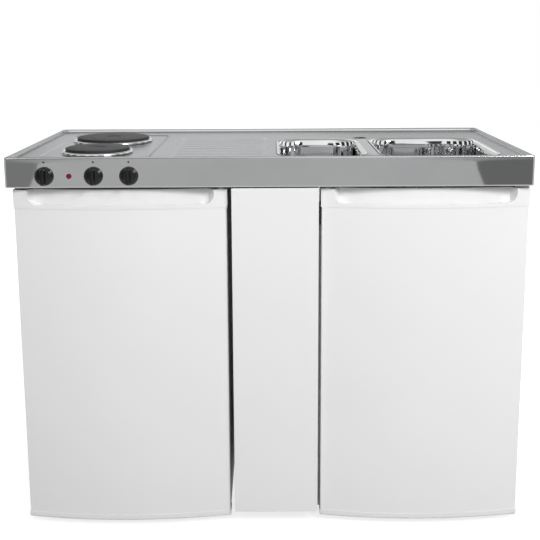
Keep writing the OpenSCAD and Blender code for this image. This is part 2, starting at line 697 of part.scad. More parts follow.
module fridge_liner() color([0.96, 0.96, 0.95]) {
  difference() {
    union() {
      block([fridge_x0 + shell_t + seat, fridge_y0, unit_z0 + shell_t + seat],
            [fridge_x1 - shell_t - seat, fridge_y0 + 4, unit_z1 - shell_t - seat]);
      intersection() {
        along_x(cave_x0 - liner_t, cave_x1 + liner_t) cave_side(liner_t);
        block([fridge_x0, fridge_y0, unit_z0], [fridge_x1, unit_y1, unit_z1]);
      }
    }
    along_x(cave_x0, cave_x1) cave_side(0);
  }
  // ledges that carry the shelves
  for (z = ledge_z) {
    block([cave_x0 - liner_t / 2, inner_y0 + 4, z - 6], [cave_x0 + ledge_w, step_y - 4, z]);
    block([cave_x1 - ledge_w, inner_y0 + 4, z - 6], [cave_x1 + liner_t / 2, step_y - 4, z]);
  }
}

module fridge_back_panel() color([0.8, 0.8, 0.8])
  block([fridge_x0 + 1, unit_y1 - 2 + eps, unit_z0 + niche_h - 40], [fridge_x1 - 1, unit_y1, unit_z1]);

comp_r = 68;
comp_h = 142;
comp_foot = 14;
comp_y = unit_y1 - niche_d / 2 + 12;
comp_x = fridge_x1 - fridge_wall - comp_r - 77.5;

// pot with a welded seam round its middle, on a plate with four rubber feet
module compressor() color([0.1, 0.1, 0.11]) {
  r = comp_r;
  seam_z = comp_h * 0.45;
  z0 = unit_z0 + shell_t + comp_foot;
  translate([comp_x, comp_y, z0]) rotate_extrude()
    polygon([[0, 0], [r - 10, 0], [r - 2, 10], [r, seam_z - 4], [r - 2, seam_z - 2], [r - 2, seam_z + 2],
             [r, seam_z + 4], [r - 4, comp_h - 32], [r - 20, comp_h - 8], [0, comp_h]]);
  block([comp_x - r - 20, comp_y - r + 8, z0 - 4], [comp_x + r + 20, comp_y + r - 8, z0 + eps]);
  for (sx = [-1, 1]) for (sy = [-1, 1])
    translate([comp_x + sx * (r + 8), comp_y + sy * (r - 20), unit_z0 + shell_t])
      cylinder(r = 9, h = comp_foot - 3);
}

cond_x0 = fridge_x0 + 60;
cond_x1 = fridge_x1 - 60;
cond_y = unit_y1 + 12;
cond_rows = 7;
cond_wires = 9;
cond_tube = 6;
cond_z0 = unit_z0 + niche_h + 20;
cond_pitch = 74;

// one flat serpentine tube with upright wires on its rear side
module condenser() color([0.08, 0.08, 0.09]) {
  wire = 2.4;
  translate([0, cond_y + cond_tube / 2, 0]) rotate([90, 0, 0]) linear_extrude(cond_tube) {
    for (i = [0:cond_rows - 1])
      translate([cond_x0, cond_z0 + cond_pitch * i - cond_tube / 2]) square([cond_x1 - cond_x0, cond_tube]);
    for (i = [0:cond_rows - 2])
      translate([i % 2 == 0 ? cond_x1 : cond_x0, cond_z0 + cond_pitch * (i + 0.5)]) intersection() {
        difference() {
          circle(r = cond_pitch / 2 + cond_tube / 2, $fn = 12);
          circle(r = cond_pitch / 2 - cond_tube / 2, $fn = 12);
        }
        translate([i % 2 == 0 ? 0 : -cond_pitch, -cond_pitch]) square([cond_pitch, 2 * cond_pitch]);
      }
  }
  for (j = [0:cond_wires - 1]) {
    x = cond_x0 + 12 + (cond_x1 - cond_x0 - 24) * j / (cond_wires - 1);
    block([x - wire / 2, cond_y + cond_tube / 2 - eps, cond_z0 - 12],
          [x + wire / 2, cond_y + cond_tube / 2 + wire, cond_z0 + cond_pitch * (cond_rows - 1) + 12]);
  }
  // four stays to the back of the cabinet
  for (x = [cond_x0 + 30, cond_x1 - 30]) for (i = [1, cond_rows - 2])
    block([x - 5, unit_y1, cond_z0 + cond_pitch * i - 2], [x + 5, cond_y, cond_z0 + cond_pitch * i + 2]);
}

module fridge_shelves() color([0.75, 0.85, 0.85])
  for (z = ledge_z)
    block([cave_x0 + 1, inner_y0, z + seat], [cave_x1 - 1, step_y - 2, z + seat + 4]);

crisper_y1 = step_y - 6;
crisper_grip = 142;

module crisper_drawer() color([0.8, 0.88, 0.9]) {
  x0 = cave_x0 + 5;
  x1 = cave_x1 - 5;
  z0 = cave_z0 + seat;
  difference() {
    block([x0, inner_y0, z0], [x1, crisper_y1, z0 + crisper_h]);
    block([x0 + 2.5, inner_y0 + 3, z0 + 2.5], [x1 - 2.5, crisper_y1 - 2.5, z0 + crisper_h + 1]);
    // finger slot in the front's upper edge
    block([cave_x - crisper_grip / 2, inner_y0 - 1, z0 + crisper_h - 14],
          [cave_x + crisper_grip / 2, inner_y0 + 4, z0 + crisper_h + 1]);
  }
}

ice_x0 = cave_x0 + 4;
ice_x1 = cave_x1 - 4;
ice_y0 = fridge_y0 + ice_set;
ice_y1 = cave_y1 - 30;
ice_t = 2.5;
flap_pin_z = ice_z1 - 8;
flap_pin_y = ice_y0 - 6;
flap_grip = 104;

// rolled aluminium box, hung from the cabinet's ceiling
module ice_box() color([0.8, 0.82, 0.84]) {
  difference() {
    block([ice_x0, ice_y0, ice_z0], [ice_x1, ice_y1, ice_z1]);
    block([ice_x0 + ice_t, ice_y0 - 1, ice_z0 + ice_t], [ice_x1 - ice_t, ice_y1 - ice_t, ice_z1 - ice_t]);
  }
  for (x = [ice_x0 + 60, ice_x1 - 60]) for (y = [ice_y0 + 60, ice_y1 - 60])
    translate([x, y, ice_z1 - eps]) cylinder(r = 8, h = cave_z1 - ice_z1);
  // ears with the flap's pins
  for (s = [[ice_x0, 1], [ice_x1 - 3, -1]]) {
    block([s[0], ice_y0 - 12, flap_pin_z - 6], [s[0] + 3, ice_y0 + 1, flap_pin_z + 6]);
    translate([s[1] > 0 ? s[0] + 3 - eps : s[0] - 7, flap_pin_y, flap_pin_z])
      rotate([0, 90, 0]) cylinder(r = 2, h = 7 + eps);
  }
}

module ice_box_flap() color([0.9, 0.93, 0.95]) difference() {
  union() {
    block([ice_x0 + 4, flap_pin_y - 4, ice_z0 + 2], [ice_x1 - 4, flap_pin_y, flap_pin_z]);
    translate([ice_x0 + 4, flap_pin_y, flap_pin_z]) rotate([0, 90, 0])
      cylinder(r = 4.5, h = ice_x1 - ice_x0 - 8);
    block([cave_x - flap_grip / 2, flap_pin_y - 10, ice_z0 + 6],
          [cave_x + flap_grip / 2, flap_pin_y - 3.5, ice_z0 + 10]);
  }
  translate([ice_x0 + 3, flap_pin_y, flap_pin_z]) rotate([0, 90, 0]) cylinder(r = 2 + run_fit, h = 8);
  translate([ice_x1 - 11, flap_pin_y, flap_pin_z]) rotate([0, 90, 0]) cylinder(r = 2 + run_fit, h = 8);
}

// thermostat on the right-hand wall under the ice box
stat_y0 = inner_y0 + 30;
stat_len = 120;
stat_d = 34;
dial_r = 19;
lamp_y = stat_y0 + 56;

module thermostat_housing() color([0.9, 0.9, 0.88]) difference() {
  block([cave_x1 - stat_d, stat_y0, stat_z - stat_h / 2], [cave_x1, stat_y0 + stat_len, stat_z + stat_h / 2]);
  // window of the lamp
  block([cave_x1 - stat_d - 1, lamp_y - 1, stat_z - stat_h / 2 + 8],
        [cave_x1 - 6, stat_y0 + stat_len - 8, stat_z + stat_h / 2 - 8]);
  bar_y(cave_x1 - stat_d / 2, stat_z, 4 + run_fit, stat_y0 - 1, stat_y0 + 20);
}

module thermostat_dial() color([0.95, 0.95, 0.94]) {
  x = cave_x1 - stat_d / 2;
  difference() {
    bar_y(x, stat_z, dial_r - 3, stat_y0 - 12, stat_y0 - seat);
    for (a = [0:30:330])
      translate([x, 0, stat_z]) rotate([0, a, 0]) bar_y(dial_r - 1.2, 0, 3, stat_y0 - 13, stat_y0 - 3);
  }
  bar_y(x, stat_z, 4, stat_y0 - 1, stat_y0 + 18);
}

module fridge_lamp() color([1, 0.95, 0.8]) translate([cave_x1 - stat_d / 2 - 2, lamp_y, stat_z])
  rotate([-90, 0, 0]) rotate_extrude()
    polygon([[0, -0.7], [7, -0.7], [7, 14], [10, 22], [12, 32], [9, 42], [0, 46]]);

// ------------------------------------------------------------------ doors

grip_r = 25;
grip_slope = 12.5;
groove_deep = 16;
tub_t = 2;

// plan of the grip recess, with ends that slope inwards
function grip_plan(x0, x1) =
  let (e0 = x0 + grip_inset,
       e1 = x1 - grip_inset,
       edge = 3,
       out = grip_deep * edge / grip_slope,
       a = e0 + grip_slope,
       b = e1 - grip_slope)
  concat(
    [[e0 - edge, bow_y(e0, x0, x1) - out - 4], [e0 - edge, bow_y(e0, x0, x1) - out]],
    [for (i = [0:28]) let (x = a + (b - a) * i / 28) [x, bow_y(x, x0, x1) + grip_deep]],
    [[e1 + edge, bow_y(e1, x0, x1) - out], [e1 + edge, bow_y(e1, x0, x1) - out - 4]],
    [[(x0 + x1) / 2, door_y - door_bow - 12]]
  );

// cut of the grip recess, its lower corners rounded as seen from the front
module grip_cut(x0, x1) {
  e0 = x0 + grip_inset;
  e1 = x1 - grip_inset;
  floor_z = trim_z + grip_lip;
  intersection() {
    slab(grip_plan(x0, x1), floor_z - 1, door_z1 + 3);
    translate([0, fridge_door_y1, 0]) rotate([90, 0, 0]) linear_extrude(fridge_door_t + door_bow + 40)
      polygon(concat(
        [for (i = [0:8]) let (a = 180 + 90 * i / 8)
          [e0 + grip_r + grip_r * cos(a), floor_z + grip_r + grip_r * sin(a)]],
        [for (i = [0:8]) let (a = 270 + 90 * i / 8)
          [e1 - grip_r + grip_r * cos(a), floor_z + grip_r + grip_r * sin(a)]],
        [[e1, door_z1 + 4], [e0, door_z1 + 4]]
      ));
  }
}

// plan of the finger groove behind the lip
function groove_plan(x0, x1, g) = let (a = x0 + grip_inset + 34 - g, b = x1 - grip_inset - 34 + g) concat(
  [for (i = [0:24]) let (x = a + (b - a) * i / 24) [x, bow_y(x, x0, x1) + 7 - g]],
  [for (i = [24:-1:0]) let (x = a + (b - a) * i / 24) [x, bow_y(x, x0, x1) + grip_deep + g]]
);

module top_trim(x0, x1, y1, px, py) difference() {
  union() {
    slab(bowed(x0, x1, y1, x0, x1), trim_z, door_z1);
    slab(groove_plan(x0, x1, tub_t), trim_z + grip_lip - groove_deep - tub_t, trim_z + eps);
  }
  grip_cut(x0, x1);
  slab(groove_plan(x0, x1, 0), trim_z + grip_lip - groove_deep, door_z1 + 1);
  for (x = [px, x0 + x1 - px])
    translate([x, py, door_z1 - 22]) cylinder(r = pin_d / 2 + run_fit, h = 23);
}

// rounded lip along the foot of the door
module bottom_trim(x0, x1, y1, px, py) difference() {
  union() {
    slab(bowed(x0, x1, y1, x0, x1), door_z0 + 3, skin_z0);
    slab(bowed(x0 + 1, x1 - 1, y1, x0, x1, 1.5), door_z0, door_z0 + 3 + eps);
  }
  for (x = [px, x0 + x1 - px])
    translate([x, py, door_z0 - 1]) cylinder(r = pin_d / 2 + run_fit, h = foot_trim_h - 2);
}

module door_skin(x0, x1, y1) {
  a = x0 + trim_step;
  b = x1 - trim_step;
  difference() {
    slab(bowed(a, b, y1, x0, x1, 0.8), skin_z0, trim_z);
    slab(bowed(a + skin_t, b - skin_t, y1 + 1, x0, x1, 0.8 + skin_t), skin_z0 - 1, trim_z + 1);
  }
}

module fridge_door_skin() color([0.93, 0.93, 0.94])
  door_skin(fridge_door_x0, fridge_door_x1, fridge_door_y1 - liner_t);

module fridge_door_top_trim() color([0.94, 0.94, 0.95])
  top_trim(fridge_door_x0, fridge_door_x1, fridge_door_y1 - liner_t, fridge_pin_x, fridge_pin_y);

module fridge_door_bottom_trim() color([0.94, 0.94, 0.95])
  bottom_trim(fridge_door_x0, fridge_door_x1, fridge_door_y1 - liner_t, fridge_pin_x, fridge_pin_y);

foam_z1 = trim_z + grip_lip - groove_deep - tub_t - seat;

module fridge_door_foam() color([0.93, 0.87, 0.66])
  slab(bowed(fridge_door_x0 + trim_step + skin_t, fridge_door_x1 - trim_step - skin_t,
             fridge_door_y1 - liner_t, fridge_door_x0, fridge_door_x1, 0.8 + skin_t), skin_z0, foam_z1);

// raised dyke that carries the bins, with the liner's sheet in front of it
dyke_x0 = cave_x0 + 12;
dyke_x1 = cave_x1 - 12;
dyke_z0 = cave_z0 + crisper_h + 14;
dyke_z1 = cave_z1 - 14;
dyke_t = 10;
dyke_y1 = fridge_door_y1 + 44;
bin_count = 3;
bin_z0 = dyke_z0 + dyke_t + 4;
bin_room = 88;                  // free height over the highest bin
bin_z1 = dyke_z1 - dyke_t - bin_h - bin_room;
bin_z = [for (i = [0:bin_count - 1]) bin_z0 + (bin_z1 - bin_z0) * i / (bin_count - 1)];

module fridge_door_liner() color([0.96, 0.96, 0.95]) {
  block([fridge_x0 + 3, fridge_door_y1 - liner_t, door_z0 + 6],
        [fridge_x1 - 3, fridge_door_y1, door_z1 - 6]);
  difference() {
    block([dyke_x0, fridge_door_y1 - eps, dyke_z0], [dyke_x1, dyke_y1, dyke_z1]);
    block([dyke_x0 + dyke_t, fridge_door_y1 - 1, dyke_z0 + dyke_t],
          [dyke_x1 - dyke_t, dyke_y1 + 1, dyke_z1 - dyke_t]);
  }
  // pegs under the bins' ends
  for (z = bin_z) for (x = [dyke_x0 + dyke_t - eps, dyke_x1 - dyke_t - 6])
    block([x, fridge_door_y1, z - 4], [x + 6 + eps, fridge_door_y1 + 30, z - seat]);
}

module fridge_door_bins() color([0.85, 0.9, 0.92]) for (z = bin_z) difference() {
  block([dyke_x0 + dyke_t + seat, fridge_door_y1 + seat, z],
        [dyke_x1 - dyke_t - seat, fridge_door_y1 + bin_d, z + bin_h]);
  block([dyke_x0 + dyke_t + 3, fridge_door_y1 + 3, z + 3],
        [dyke_x1 - dyke_t - 3, fridge_door_y1 + bin_d - 2.5, z + bin_h + 1]);
}

seal_in = 15;
seal_w = 14;

module fridge_door_gasket() color([0.88, 0.88, 0.87]) {
  x0 = fridge_door_x0 + seal_in;
  x1 = fridge_door_x1 - seal_in;
  z0 = unit_z0 + 8;
  z1 = unit_z1 - 12;
  difference() {
    block([x0, fridge_door_y1, z0], [x1, fridge_y0 - seat, z1]);
    block([x0 + seal_w, fridge_door_y1 - 1, z0 + seal_w], [x1 - seal_w, fridge_y0, z1 - seal_w]);
  }
}

module sink_door_skin() color([0.93, 0.93, 0.94])
  door_skin(sink_door_x0, sink_door_x1, sink_door_y1 - skin_t);

module sink_door_top_trim() color([0.94, 0.94, 0.95])
  top_trim(sink_door_x0, sink_door_x1, sink_door_y1 - skin_t, sink_pin_x, sink_pin_y);

module sink_door_bottom_trim() color([0.94, 0.94, 0.95])
  bottom_trim(sink_door_x0, sink_door_x1, sink_door_y1 - skin_t, sink_pin_x, sink_pin_y);

module sink_door_inner_panel() color([0.92, 0.92, 0.92])
  block([sink_door_x0 + 3, sink_door_y1 - skin_t, door_z0 + 6],
        [sink_door_x1 - 3, sink_door_y1, door_z1 - 6]);

// centre post behind the door's free edge
post_x0 = panel_x1 - board_t;
post_x1 = sink_door_x0 + board_t;
frame_z1 = main_z0 - 14;
frame_h = 50;
catch_z1 = frame_z1 - frame_h;
catch_h = 26;

module sink_door_bumpers() color([0.9, 0.9, 0.88]) {
  for (x = [post_x1 - 6, sink_pin_x - 4]) for (z = [unit_z0 + 50, frame_z1 - 120])
    bar_y(x, z, 3, sink_door_y1, cabinet_y0 - seat);
  // strike of the magnetic catch
  block([post_x1 + 4, sink_door_y1, catch_z1 - catch_h + 2],
        [post_x1 + 30, cabinet_y0 - 3, catch_z1 - 4]);
}

// each door turns on a pin in a plate over it and one in a cranked plate under it
module hinge_pair(x, y, side, body_y0) {
  wide = 22;
  a = side > 0 ? x - pin_in + 2 : x - wide;
  b = side > 0 ? x + wide : x + pin_in - 2;
  block([a, y - 9, unit_z1], [b, body_y0 + 46, unit_z1 + bracket_t]);
  translate([x, y, unit_z1 - 19]) cylinder(r = pin_d / 2, h = 19 + eps);
  low = door_z0 - seat - bracket_t;
  riser = body_y0 + 1;
  along_x(a, b) polygon([
    [y - 9, low], [riser + bracket_t, low], [riser + bracket_t, unit_z0 - bracket_t],
    [body_y0 + 46, unit_z0 - bracket_t], [body_y0 + 46, unit_z0], [riser, unit_z0],
    [riser, low + bracket_t], [y - 9, low + bracket_t]]);
  translate([x, y, low + bracket_t - eps]) cylinder(r = pin_d / 2, h = foot_trim_h - 4);
}

module door_hinges() color([0.62, 0.63, 0.65]) {
  hinge_pair(fridge_pin_x, fridge_pin_y, 1, fridge_y0);
  hinge_pair(sink_pin_x, sink_pin_y, -1, cabinet_y0);
}

// screwed feet under both cabinets
module foot(x, y) translate([x, y, 0]) rotate_extrude()
  polygon([[0, 0], [19, 0], [19, 5], [12, 9], [6, 9], [6, unit_z0 - seat], [0, unit_z0 - seat]]);

module levelling_feet() color([0.12, 0.12, 0.13]) {
  for (x = [fridge_x0 + 60, fridge_x1 - 40, cabinet_x0 + 40, cabinet_x1 - 60])
    for (y = [fridge_y0 + 75, unit_y1 - 50]) foot(x, y);
}

// ----------------------------------------------------------- sink cabinet

module cabinet_sides() color([0.95, 0.95, 0.95]) {
  block([cabinet_x0, cabinet_y0, unit_z0], [cabinet_x0 + board_t, unit_y1, unit_z1]);
  block([cabinet_x1 - board_t, cabinet_y0, unit_z0], [cabinet_x1, unit_y1, unit_z1]);
}

module cabinet_floor() color([0.94, 0.94, 0.94])
  block([cabinet_x0 + board_t, cabinet_y0, unit_z0], [cabinet_x1 - board_t, unit_y1, unit_z0 + board_t]);

back_t = 8;

// the back is open where the pipes and the wall taps are
module cabinet_back() color([0.93, 0.93, 0.92]) difference() {
  block([cabinet_x0 + board_t, unit_y1 - back_t, unit_z0 + board_t],
        [cabinet_x1 - board_t, unit_y1, unit_z1]);
  block([half_x - 60, unit_y1 - back_t - 1, trap_z1 - 110], [main_x + 90, unit_y1 + 1, unit_z1 - 110]);
  for (x = [cabinet_x0 + 60, cabinet_x1 - 60]) bar_y(x, unit_z1 - 40, 4, unit_y1 - back_t - 1, unit_y1 + 1);
}

module cabinet_front_frame() color([0.95, 0.95, 0.95]) {
  block([cabinet_x0 + board_t, cabinet_y0, catch_z1],
        [cabinet_x1 - board_t, cabinet_y0 + board_t, frame_z1]);
  block([post_x0, cabinet_y0, unit_z0 + board_t], [post_x1, cabinet_y0 + board_t, catch_z1 + eps]);
}

// folded steel front between the two doors
module blind_panel() color([0.92, 0.92, 0.93]) {
  x0 = cabinet_x0;
  x1 = panel_x1;
  y0 = front_y + 1;
  z1 = fascia_z - 3;
  difference() {
    block([x0, y0, panel_z0], [x1, cabinet_y0 - seat, z1]);
    block([x0 + skin_t, y0 + skin_t, panel_z0 + skin_t], [x1 - skin_t, cabinet_y0, z1 - skin_t]);
    block([x0 + skin_t, y0 + 21, panel_z0 - 1], [x1 - skin_t, cabinet_y0, z1 + 1]);
    // the right side stops short of the half bowl's front wall
    block([x1 - skin_t - 1, front_y + bowl_y0 + lip_r - 3, half_z0 - 6], [x1 + 1, cabinet_y0, z1 + 1]);
  }
}

// magnetic catch behind the door's free edge
module door_catch() color([0.3, 0.3, 0.32])
  block([post_x1 + seat, cabinet_y0 - 3 + seat, catch_z1 - catch_h],
        [post_x1 + 32, cabinet_y0 + 14, catch_z1 - seat]);

worktop();
worktop_frame();
half_bowl();
main_bowl();
bowl_wastes();
half_bowl_strainer();
main_bowl_strainer();
waste_pipe();
bottle_trap();
trap_cup();
outlet_pipe();
front_hotplate();
rear_hotplate();
spill_rings();
hotplate_clamps();
hob_tray();
switch_bodies();
timer_knob();
front_plate_knob();
rear_plate_knob();
timer_shaft();
front_plate_shaft();
rear_plate_shaft();
pilot_lamp();
index_dots();
terminal_box();
fridge_cabinet();
fridge_insulation();
fridge_liner();
fridge_back_panel();
compressor();
condenser();
fridge_shelves();
crisper_drawer();
ice_box();
ice_box_flap();
thermostat_housing();
thermostat_dial();
fridge_lamp();
door_hinges();
levelling_feet();
fridge_door_skin();
fridge_door_top_trim();
fridge_door_bottom_trim();
fridge_door_foam();
fridge_door_liner();
fridge_door_bins();
fridge_door_gasket();
cabinet_sides();
cabinet_floor();
cabinet_back();
cabinet_front_frame();
sink_door_skin();
sink_door_top_trim();
sink_door_bottom_trim();
sink_door_inner_panel();
sink_door_bumpers();
blind_panel();
door_catch();
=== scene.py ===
"""Dresses the kitchenette: a steel worktop with hob and bowls over a refrigerator and a sink cabinet."""

import json
import logging
import math
from collections.abc import Iterator, Sequence
from contextlib import contextmanager
from dataclasses import dataclass
from enum import Enum
from typing import Any, Union

import bmesh
import bpy
from mathutils import Matrix, Vector
from mathutils.geometry import delaunay_2d_cdt


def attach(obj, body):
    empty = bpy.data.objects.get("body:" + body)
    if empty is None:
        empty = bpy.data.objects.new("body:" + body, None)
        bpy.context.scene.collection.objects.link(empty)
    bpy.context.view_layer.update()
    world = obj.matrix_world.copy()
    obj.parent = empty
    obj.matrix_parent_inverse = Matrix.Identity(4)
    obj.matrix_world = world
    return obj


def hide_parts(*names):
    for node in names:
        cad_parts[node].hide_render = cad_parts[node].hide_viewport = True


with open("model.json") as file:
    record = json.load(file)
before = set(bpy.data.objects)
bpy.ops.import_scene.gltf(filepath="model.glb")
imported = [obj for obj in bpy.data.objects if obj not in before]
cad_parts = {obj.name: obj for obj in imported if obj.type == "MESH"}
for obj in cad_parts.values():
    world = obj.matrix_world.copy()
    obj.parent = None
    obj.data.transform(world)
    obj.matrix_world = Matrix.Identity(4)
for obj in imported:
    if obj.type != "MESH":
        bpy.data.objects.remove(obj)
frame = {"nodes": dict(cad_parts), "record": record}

LOG = logging.getLogger("kitchenette")
MM = 0.001
Point2 = tuple[float, float]
Point3 = tuple[float, float, float]
Colour = tuple[float, float, float]
Faces = list[list[int]]
Socket = Union["Signal", float, int, Sequence[float]]

EVEN: Point3 = (1.0, 1.0, 1.0)
ORIGIN: Point3 = (0.0, 0.0, 0.0)
MIDDLE: Point2 = (0.3, 0.7)
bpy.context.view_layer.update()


# ------------------------------------------------------------------ shader maths


class Signal:
    """A shader socket that Python sums can be written with."""

    def __init__(self, graph: "Graph", socket: bpy.types.NodeSocket) -> None:
        """Keeps the socket and the tree that it belongs to.

        Args:
            graph: The tree that new nodes go into.
            socket: The output socket that carries the value.
        """
        self.graph = graph
        self.socket = socket

    def maths(self, operation: str, *inputs: Socket) -> "Signal":
        """Adds one Math node with its inputs from the top, and gives its result."""
        return self.graph.node("ShaderNodeMath", {"operation": operation}, dict(enumerate(inputs)))

    def __add__(self, other: Socket) -> "Signal":
        """Sum with another value."""
        return self.maths("ADD", self, other)

    def __radd__(self, other: Socket) -> "Signal":
        """Sum with a value on the left."""
        return self.maths("ADD", other, self)

    def __sub__(self, other: Socket) -> "Signal":
        """Difference to another value."""
        return self.maths("SUBTRACT", self, other)

    def __rsub__(self, other: Socket) -> "Signal":
        """Difference of a value on the left to this one."""
        return self.maths("SUBTRACT", other, self)

    def __mul__(self, other: Socket) -> "Signal":
        """Product with another value."""
        return self.maths("MULTIPLY", self, other)

    def __rmul__(self, other: Socket) -> "Signal":
        """Product with a value on the left."""
        return self.maths("MULTIPLY", other, self)

    def at_least(self, other: Socket) -> "Signal":
        """The larger of the value and another."""
        return self.maths("MAXIMUM", self, other)

    def sine(self) -> "Signal":
        """The sine of the value as an angle in radians."""
        return self.maths("SINE", self)

    def swing(self, share: float) -> "Signal":
        """A share of a noise's departure from its middle, a half."""
        return (self - 0.5) * share

    def clipped(self, low: float, high: float) -> "Signal":
        """Maps low to 0 and high to 1, smoothly and without going past either."""
        inputs = {"Value": self, "From Min": low, "From Max": high}
        return self.graph.node("ShaderNodeMapRange", {"interpolation_type": "SMOOTHSTEP"}, inputs)


class Graph:
    """The node tree of one material, or of the studio's surroundings."""

    def __init__(self, name: str, surroundings: bool = False) -> None:
        """Makes an empty tree with its output.

        Args:
            name: The material's name.
            surroundings: Whether the tree belongs to the world instead of a material.
        """
        store, kind = (bpy.data.worlds, "World") if surroundings else (bpy.data.materials, "Material")
        self.owner = store.new(name)
        self.owner.use_nodes = True
        self.tree = self.owner.node_tree
        self.tree.nodes.clear()
        self.target = self.tree.nodes.new("ShaderNodeOutput" + kind)

    def node(
        self,
        kind: str,
        settings: dict[str, Any] | None = None,
        inputs: dict[Union[str, int], Socket] | None = None,
        output: Union[str, int] = 0,
    ) -> Signal:
        """Adds a node: its settings first, then its sockets.

        Args:
            kind: The node's type name.
            settings: Attributes of the node.
            inputs: A value or a signal for each named or numbered input socket.
            output: The output socket to give back.

        Returns:
            The chosen output.
        """
        made = self.tree.nodes.new(kind)
        for key, value in (settings or {}).items():
            setattr(made, key, value)
        for key, value in (inputs or {}).items():
            self.feed(made.inputs[key], value)
        return Signal(self, made.outputs[output])

    def feed(self, target: bpy.types.NodeSocket, value: Socket) -> None:
        """Links a signal to a socket, or sets the socket's own value.

        Args:
            target: The socket that is fed.
            value: A signal, a number or a list of numbers.
        """
        if isinstance(value, Signal):
            self.tree.links.new(value.socket, target)
        elif isinstance(value, (int, float)):
            target.default_value = value
        elif len(value) == 3 and target.type == "RGBA":
            target.default_value = (*value, 1.0)
        else:
            target.default_value = value

    def place(self, stretch: Point3 = EVEN, centre: Point3 = ORIGIN) -> Signal:
        """Gives a place on the piece in metres, counted from a centre and stretched.

        Args:
            stretch: Factor along each axis.
            centre: The point that becomes the origin.

        Returns:
            The place as a vector.
        """
        here = self.node("ShaderNodeTexCoord", output="Object")
        moved = self.node("ShaderNodeVectorMath", {"operation": "SUBTRACT"}, {0: here, 1: centre})
        return self.node("ShaderNodeVectorMath", {"operation": "MULTIPLY"}, {0: moved, 1: stretch})

    def distance(self, stretch: Point3 = EVEN, centre: Point3 = ORIGIN) -> Signal:
        """Gives the length of a stretched place, with the arguments of place."""
        vector = {0: self.place(stretch, centre)}
        return self.node("ShaderNodeVectorMath", {"operation": "LENGTH"}, vector, "Value")

    def part(self, vector: Signal, axis: str) -> Signal:
        """Gives one coordinate of a vector."""
        return self.node("ShaderNodeSeparateXYZ", None, {"Vector": vector}, axis)

    def ray(self, kind: str) -> Signal:
        """Gives 1 for rays of a kind: Camera, Glossy or Transmission."""
        return self.node("ShaderNodeLightPath", output=f"Is {kind} Ray")

    def noise(self, scale: float, stretch: Point3 = EVEN, detail: float = 3.0) -> Signal:
        """Adds a noise round a half, given by its cells to the metre and its finer layers."""
        inputs = {"Vector": self.place(stretch), "Scale": scale, "Detail": detail, "Roughness": 0.55}
        return self.node("ShaderNodeTexNoise", {"noise_dimensions": "3D"}, inputs)

    def cells(self, scale: float) -> Signal:
        """Gives the distance to the middle of the nearest cell, with so many cells to the metre."""
        inputs = {"Vector": self.place(), "Scale": scale}
        return self.node("ShaderNodeTexVoronoi", {"feature": "F1"}, inputs, "Distance")

    def blend(self, factor: Socket, first: Socket, second: Socket) -> Signal:
        """Blends two colours: a factor of 0 gives the first, 1 the second."""
        settings = {"data_type": "RGBA", "blend_type": "MIX"}
        return self.node("ShaderNodeMix", settings, {0: factor, 6: first, 7: second}, output=2)

    def uneven(self, tone: Signal, colour: Colour, tones: Point2, span: Point2 = MIDDLE) -> Signal:
        """Shades a colour by one factor where a noise is low in its span, by the other where it is high."""
        return self.blend(tone.clipped(*span), shade(colour, tones[0]), shade(colour, tones[1]))

    def bump(self, height: Socket, distance: float) -> Signal:
        """Turns a height into a normal; the distance in metres is what a height of 1 stands for."""
        return self.node("ShaderNodeBump", None, {"Height": height, "Distance": distance, "Strength": 1.0})

    def close(self, shader: Signal) -> Union[bpy.types.Material, bpy.types.World]:
        """Leads a shader to the output and gives back what the tree belongs to."""
        self.feed(self.target.inputs["Surface"], shader)
        return self.owner

    def finish(self, **inputs: Socket) -> bpy.types.Material:
        """Ends the tree in a surface shader; underscores stand for spaces in its sockets' names."""
        named = {key.replace("_", " "): value for key, value in inputs.items()}
        return self.close(self.node("ShaderNodeBsdfPrincipled", None, named))


# ---------------------------------------------------------------------- finishes


def shade(colour: Colour, factor: float) -> Colour:
    """Makes a colour lighter or darker by a factor, no channel past 1."""
    return tuple(min(1.0, channel * factor) for channel in colour)


class Grain(Enum):
    """The way that a brushed or sawn grain runs, as stretch factors along X, Y and Z."""

    ALONG_X = (0.004, 1.0, 1.0)
    ALONG_Y = (1.0, 0.004, 1.0)


@dataclass(frozen=True)
class BrushedSteel:
    """Rolled or brushed sheet with a fine straight grain."""

    name: str
    colour: Colour
    roughness: float
    grain: Grain = Grain.ALONG_X
    tones: Point2 = (0.95, 1.04)
    spread: float = 0.10
    relief: float = 0.000006

    def build(self) -> bpy.types.Material:
        """Makes the sheet's material.

        Returns:
            The material.
        """
        g = Graph(self.name)
        fine = g.noise(900.0, self.grain.value, 4.0)
        broad = g.noise(7.0)
        return g.finish(
            Base_Color=g.uneven(broad, self.colour, self.tones),
            Metallic=1.0,
            Roughness=fine.swing(self.spread) + broad.swing(0.06) + self.roughness,
            Normal=g.bump(fine, self.relief),
        )


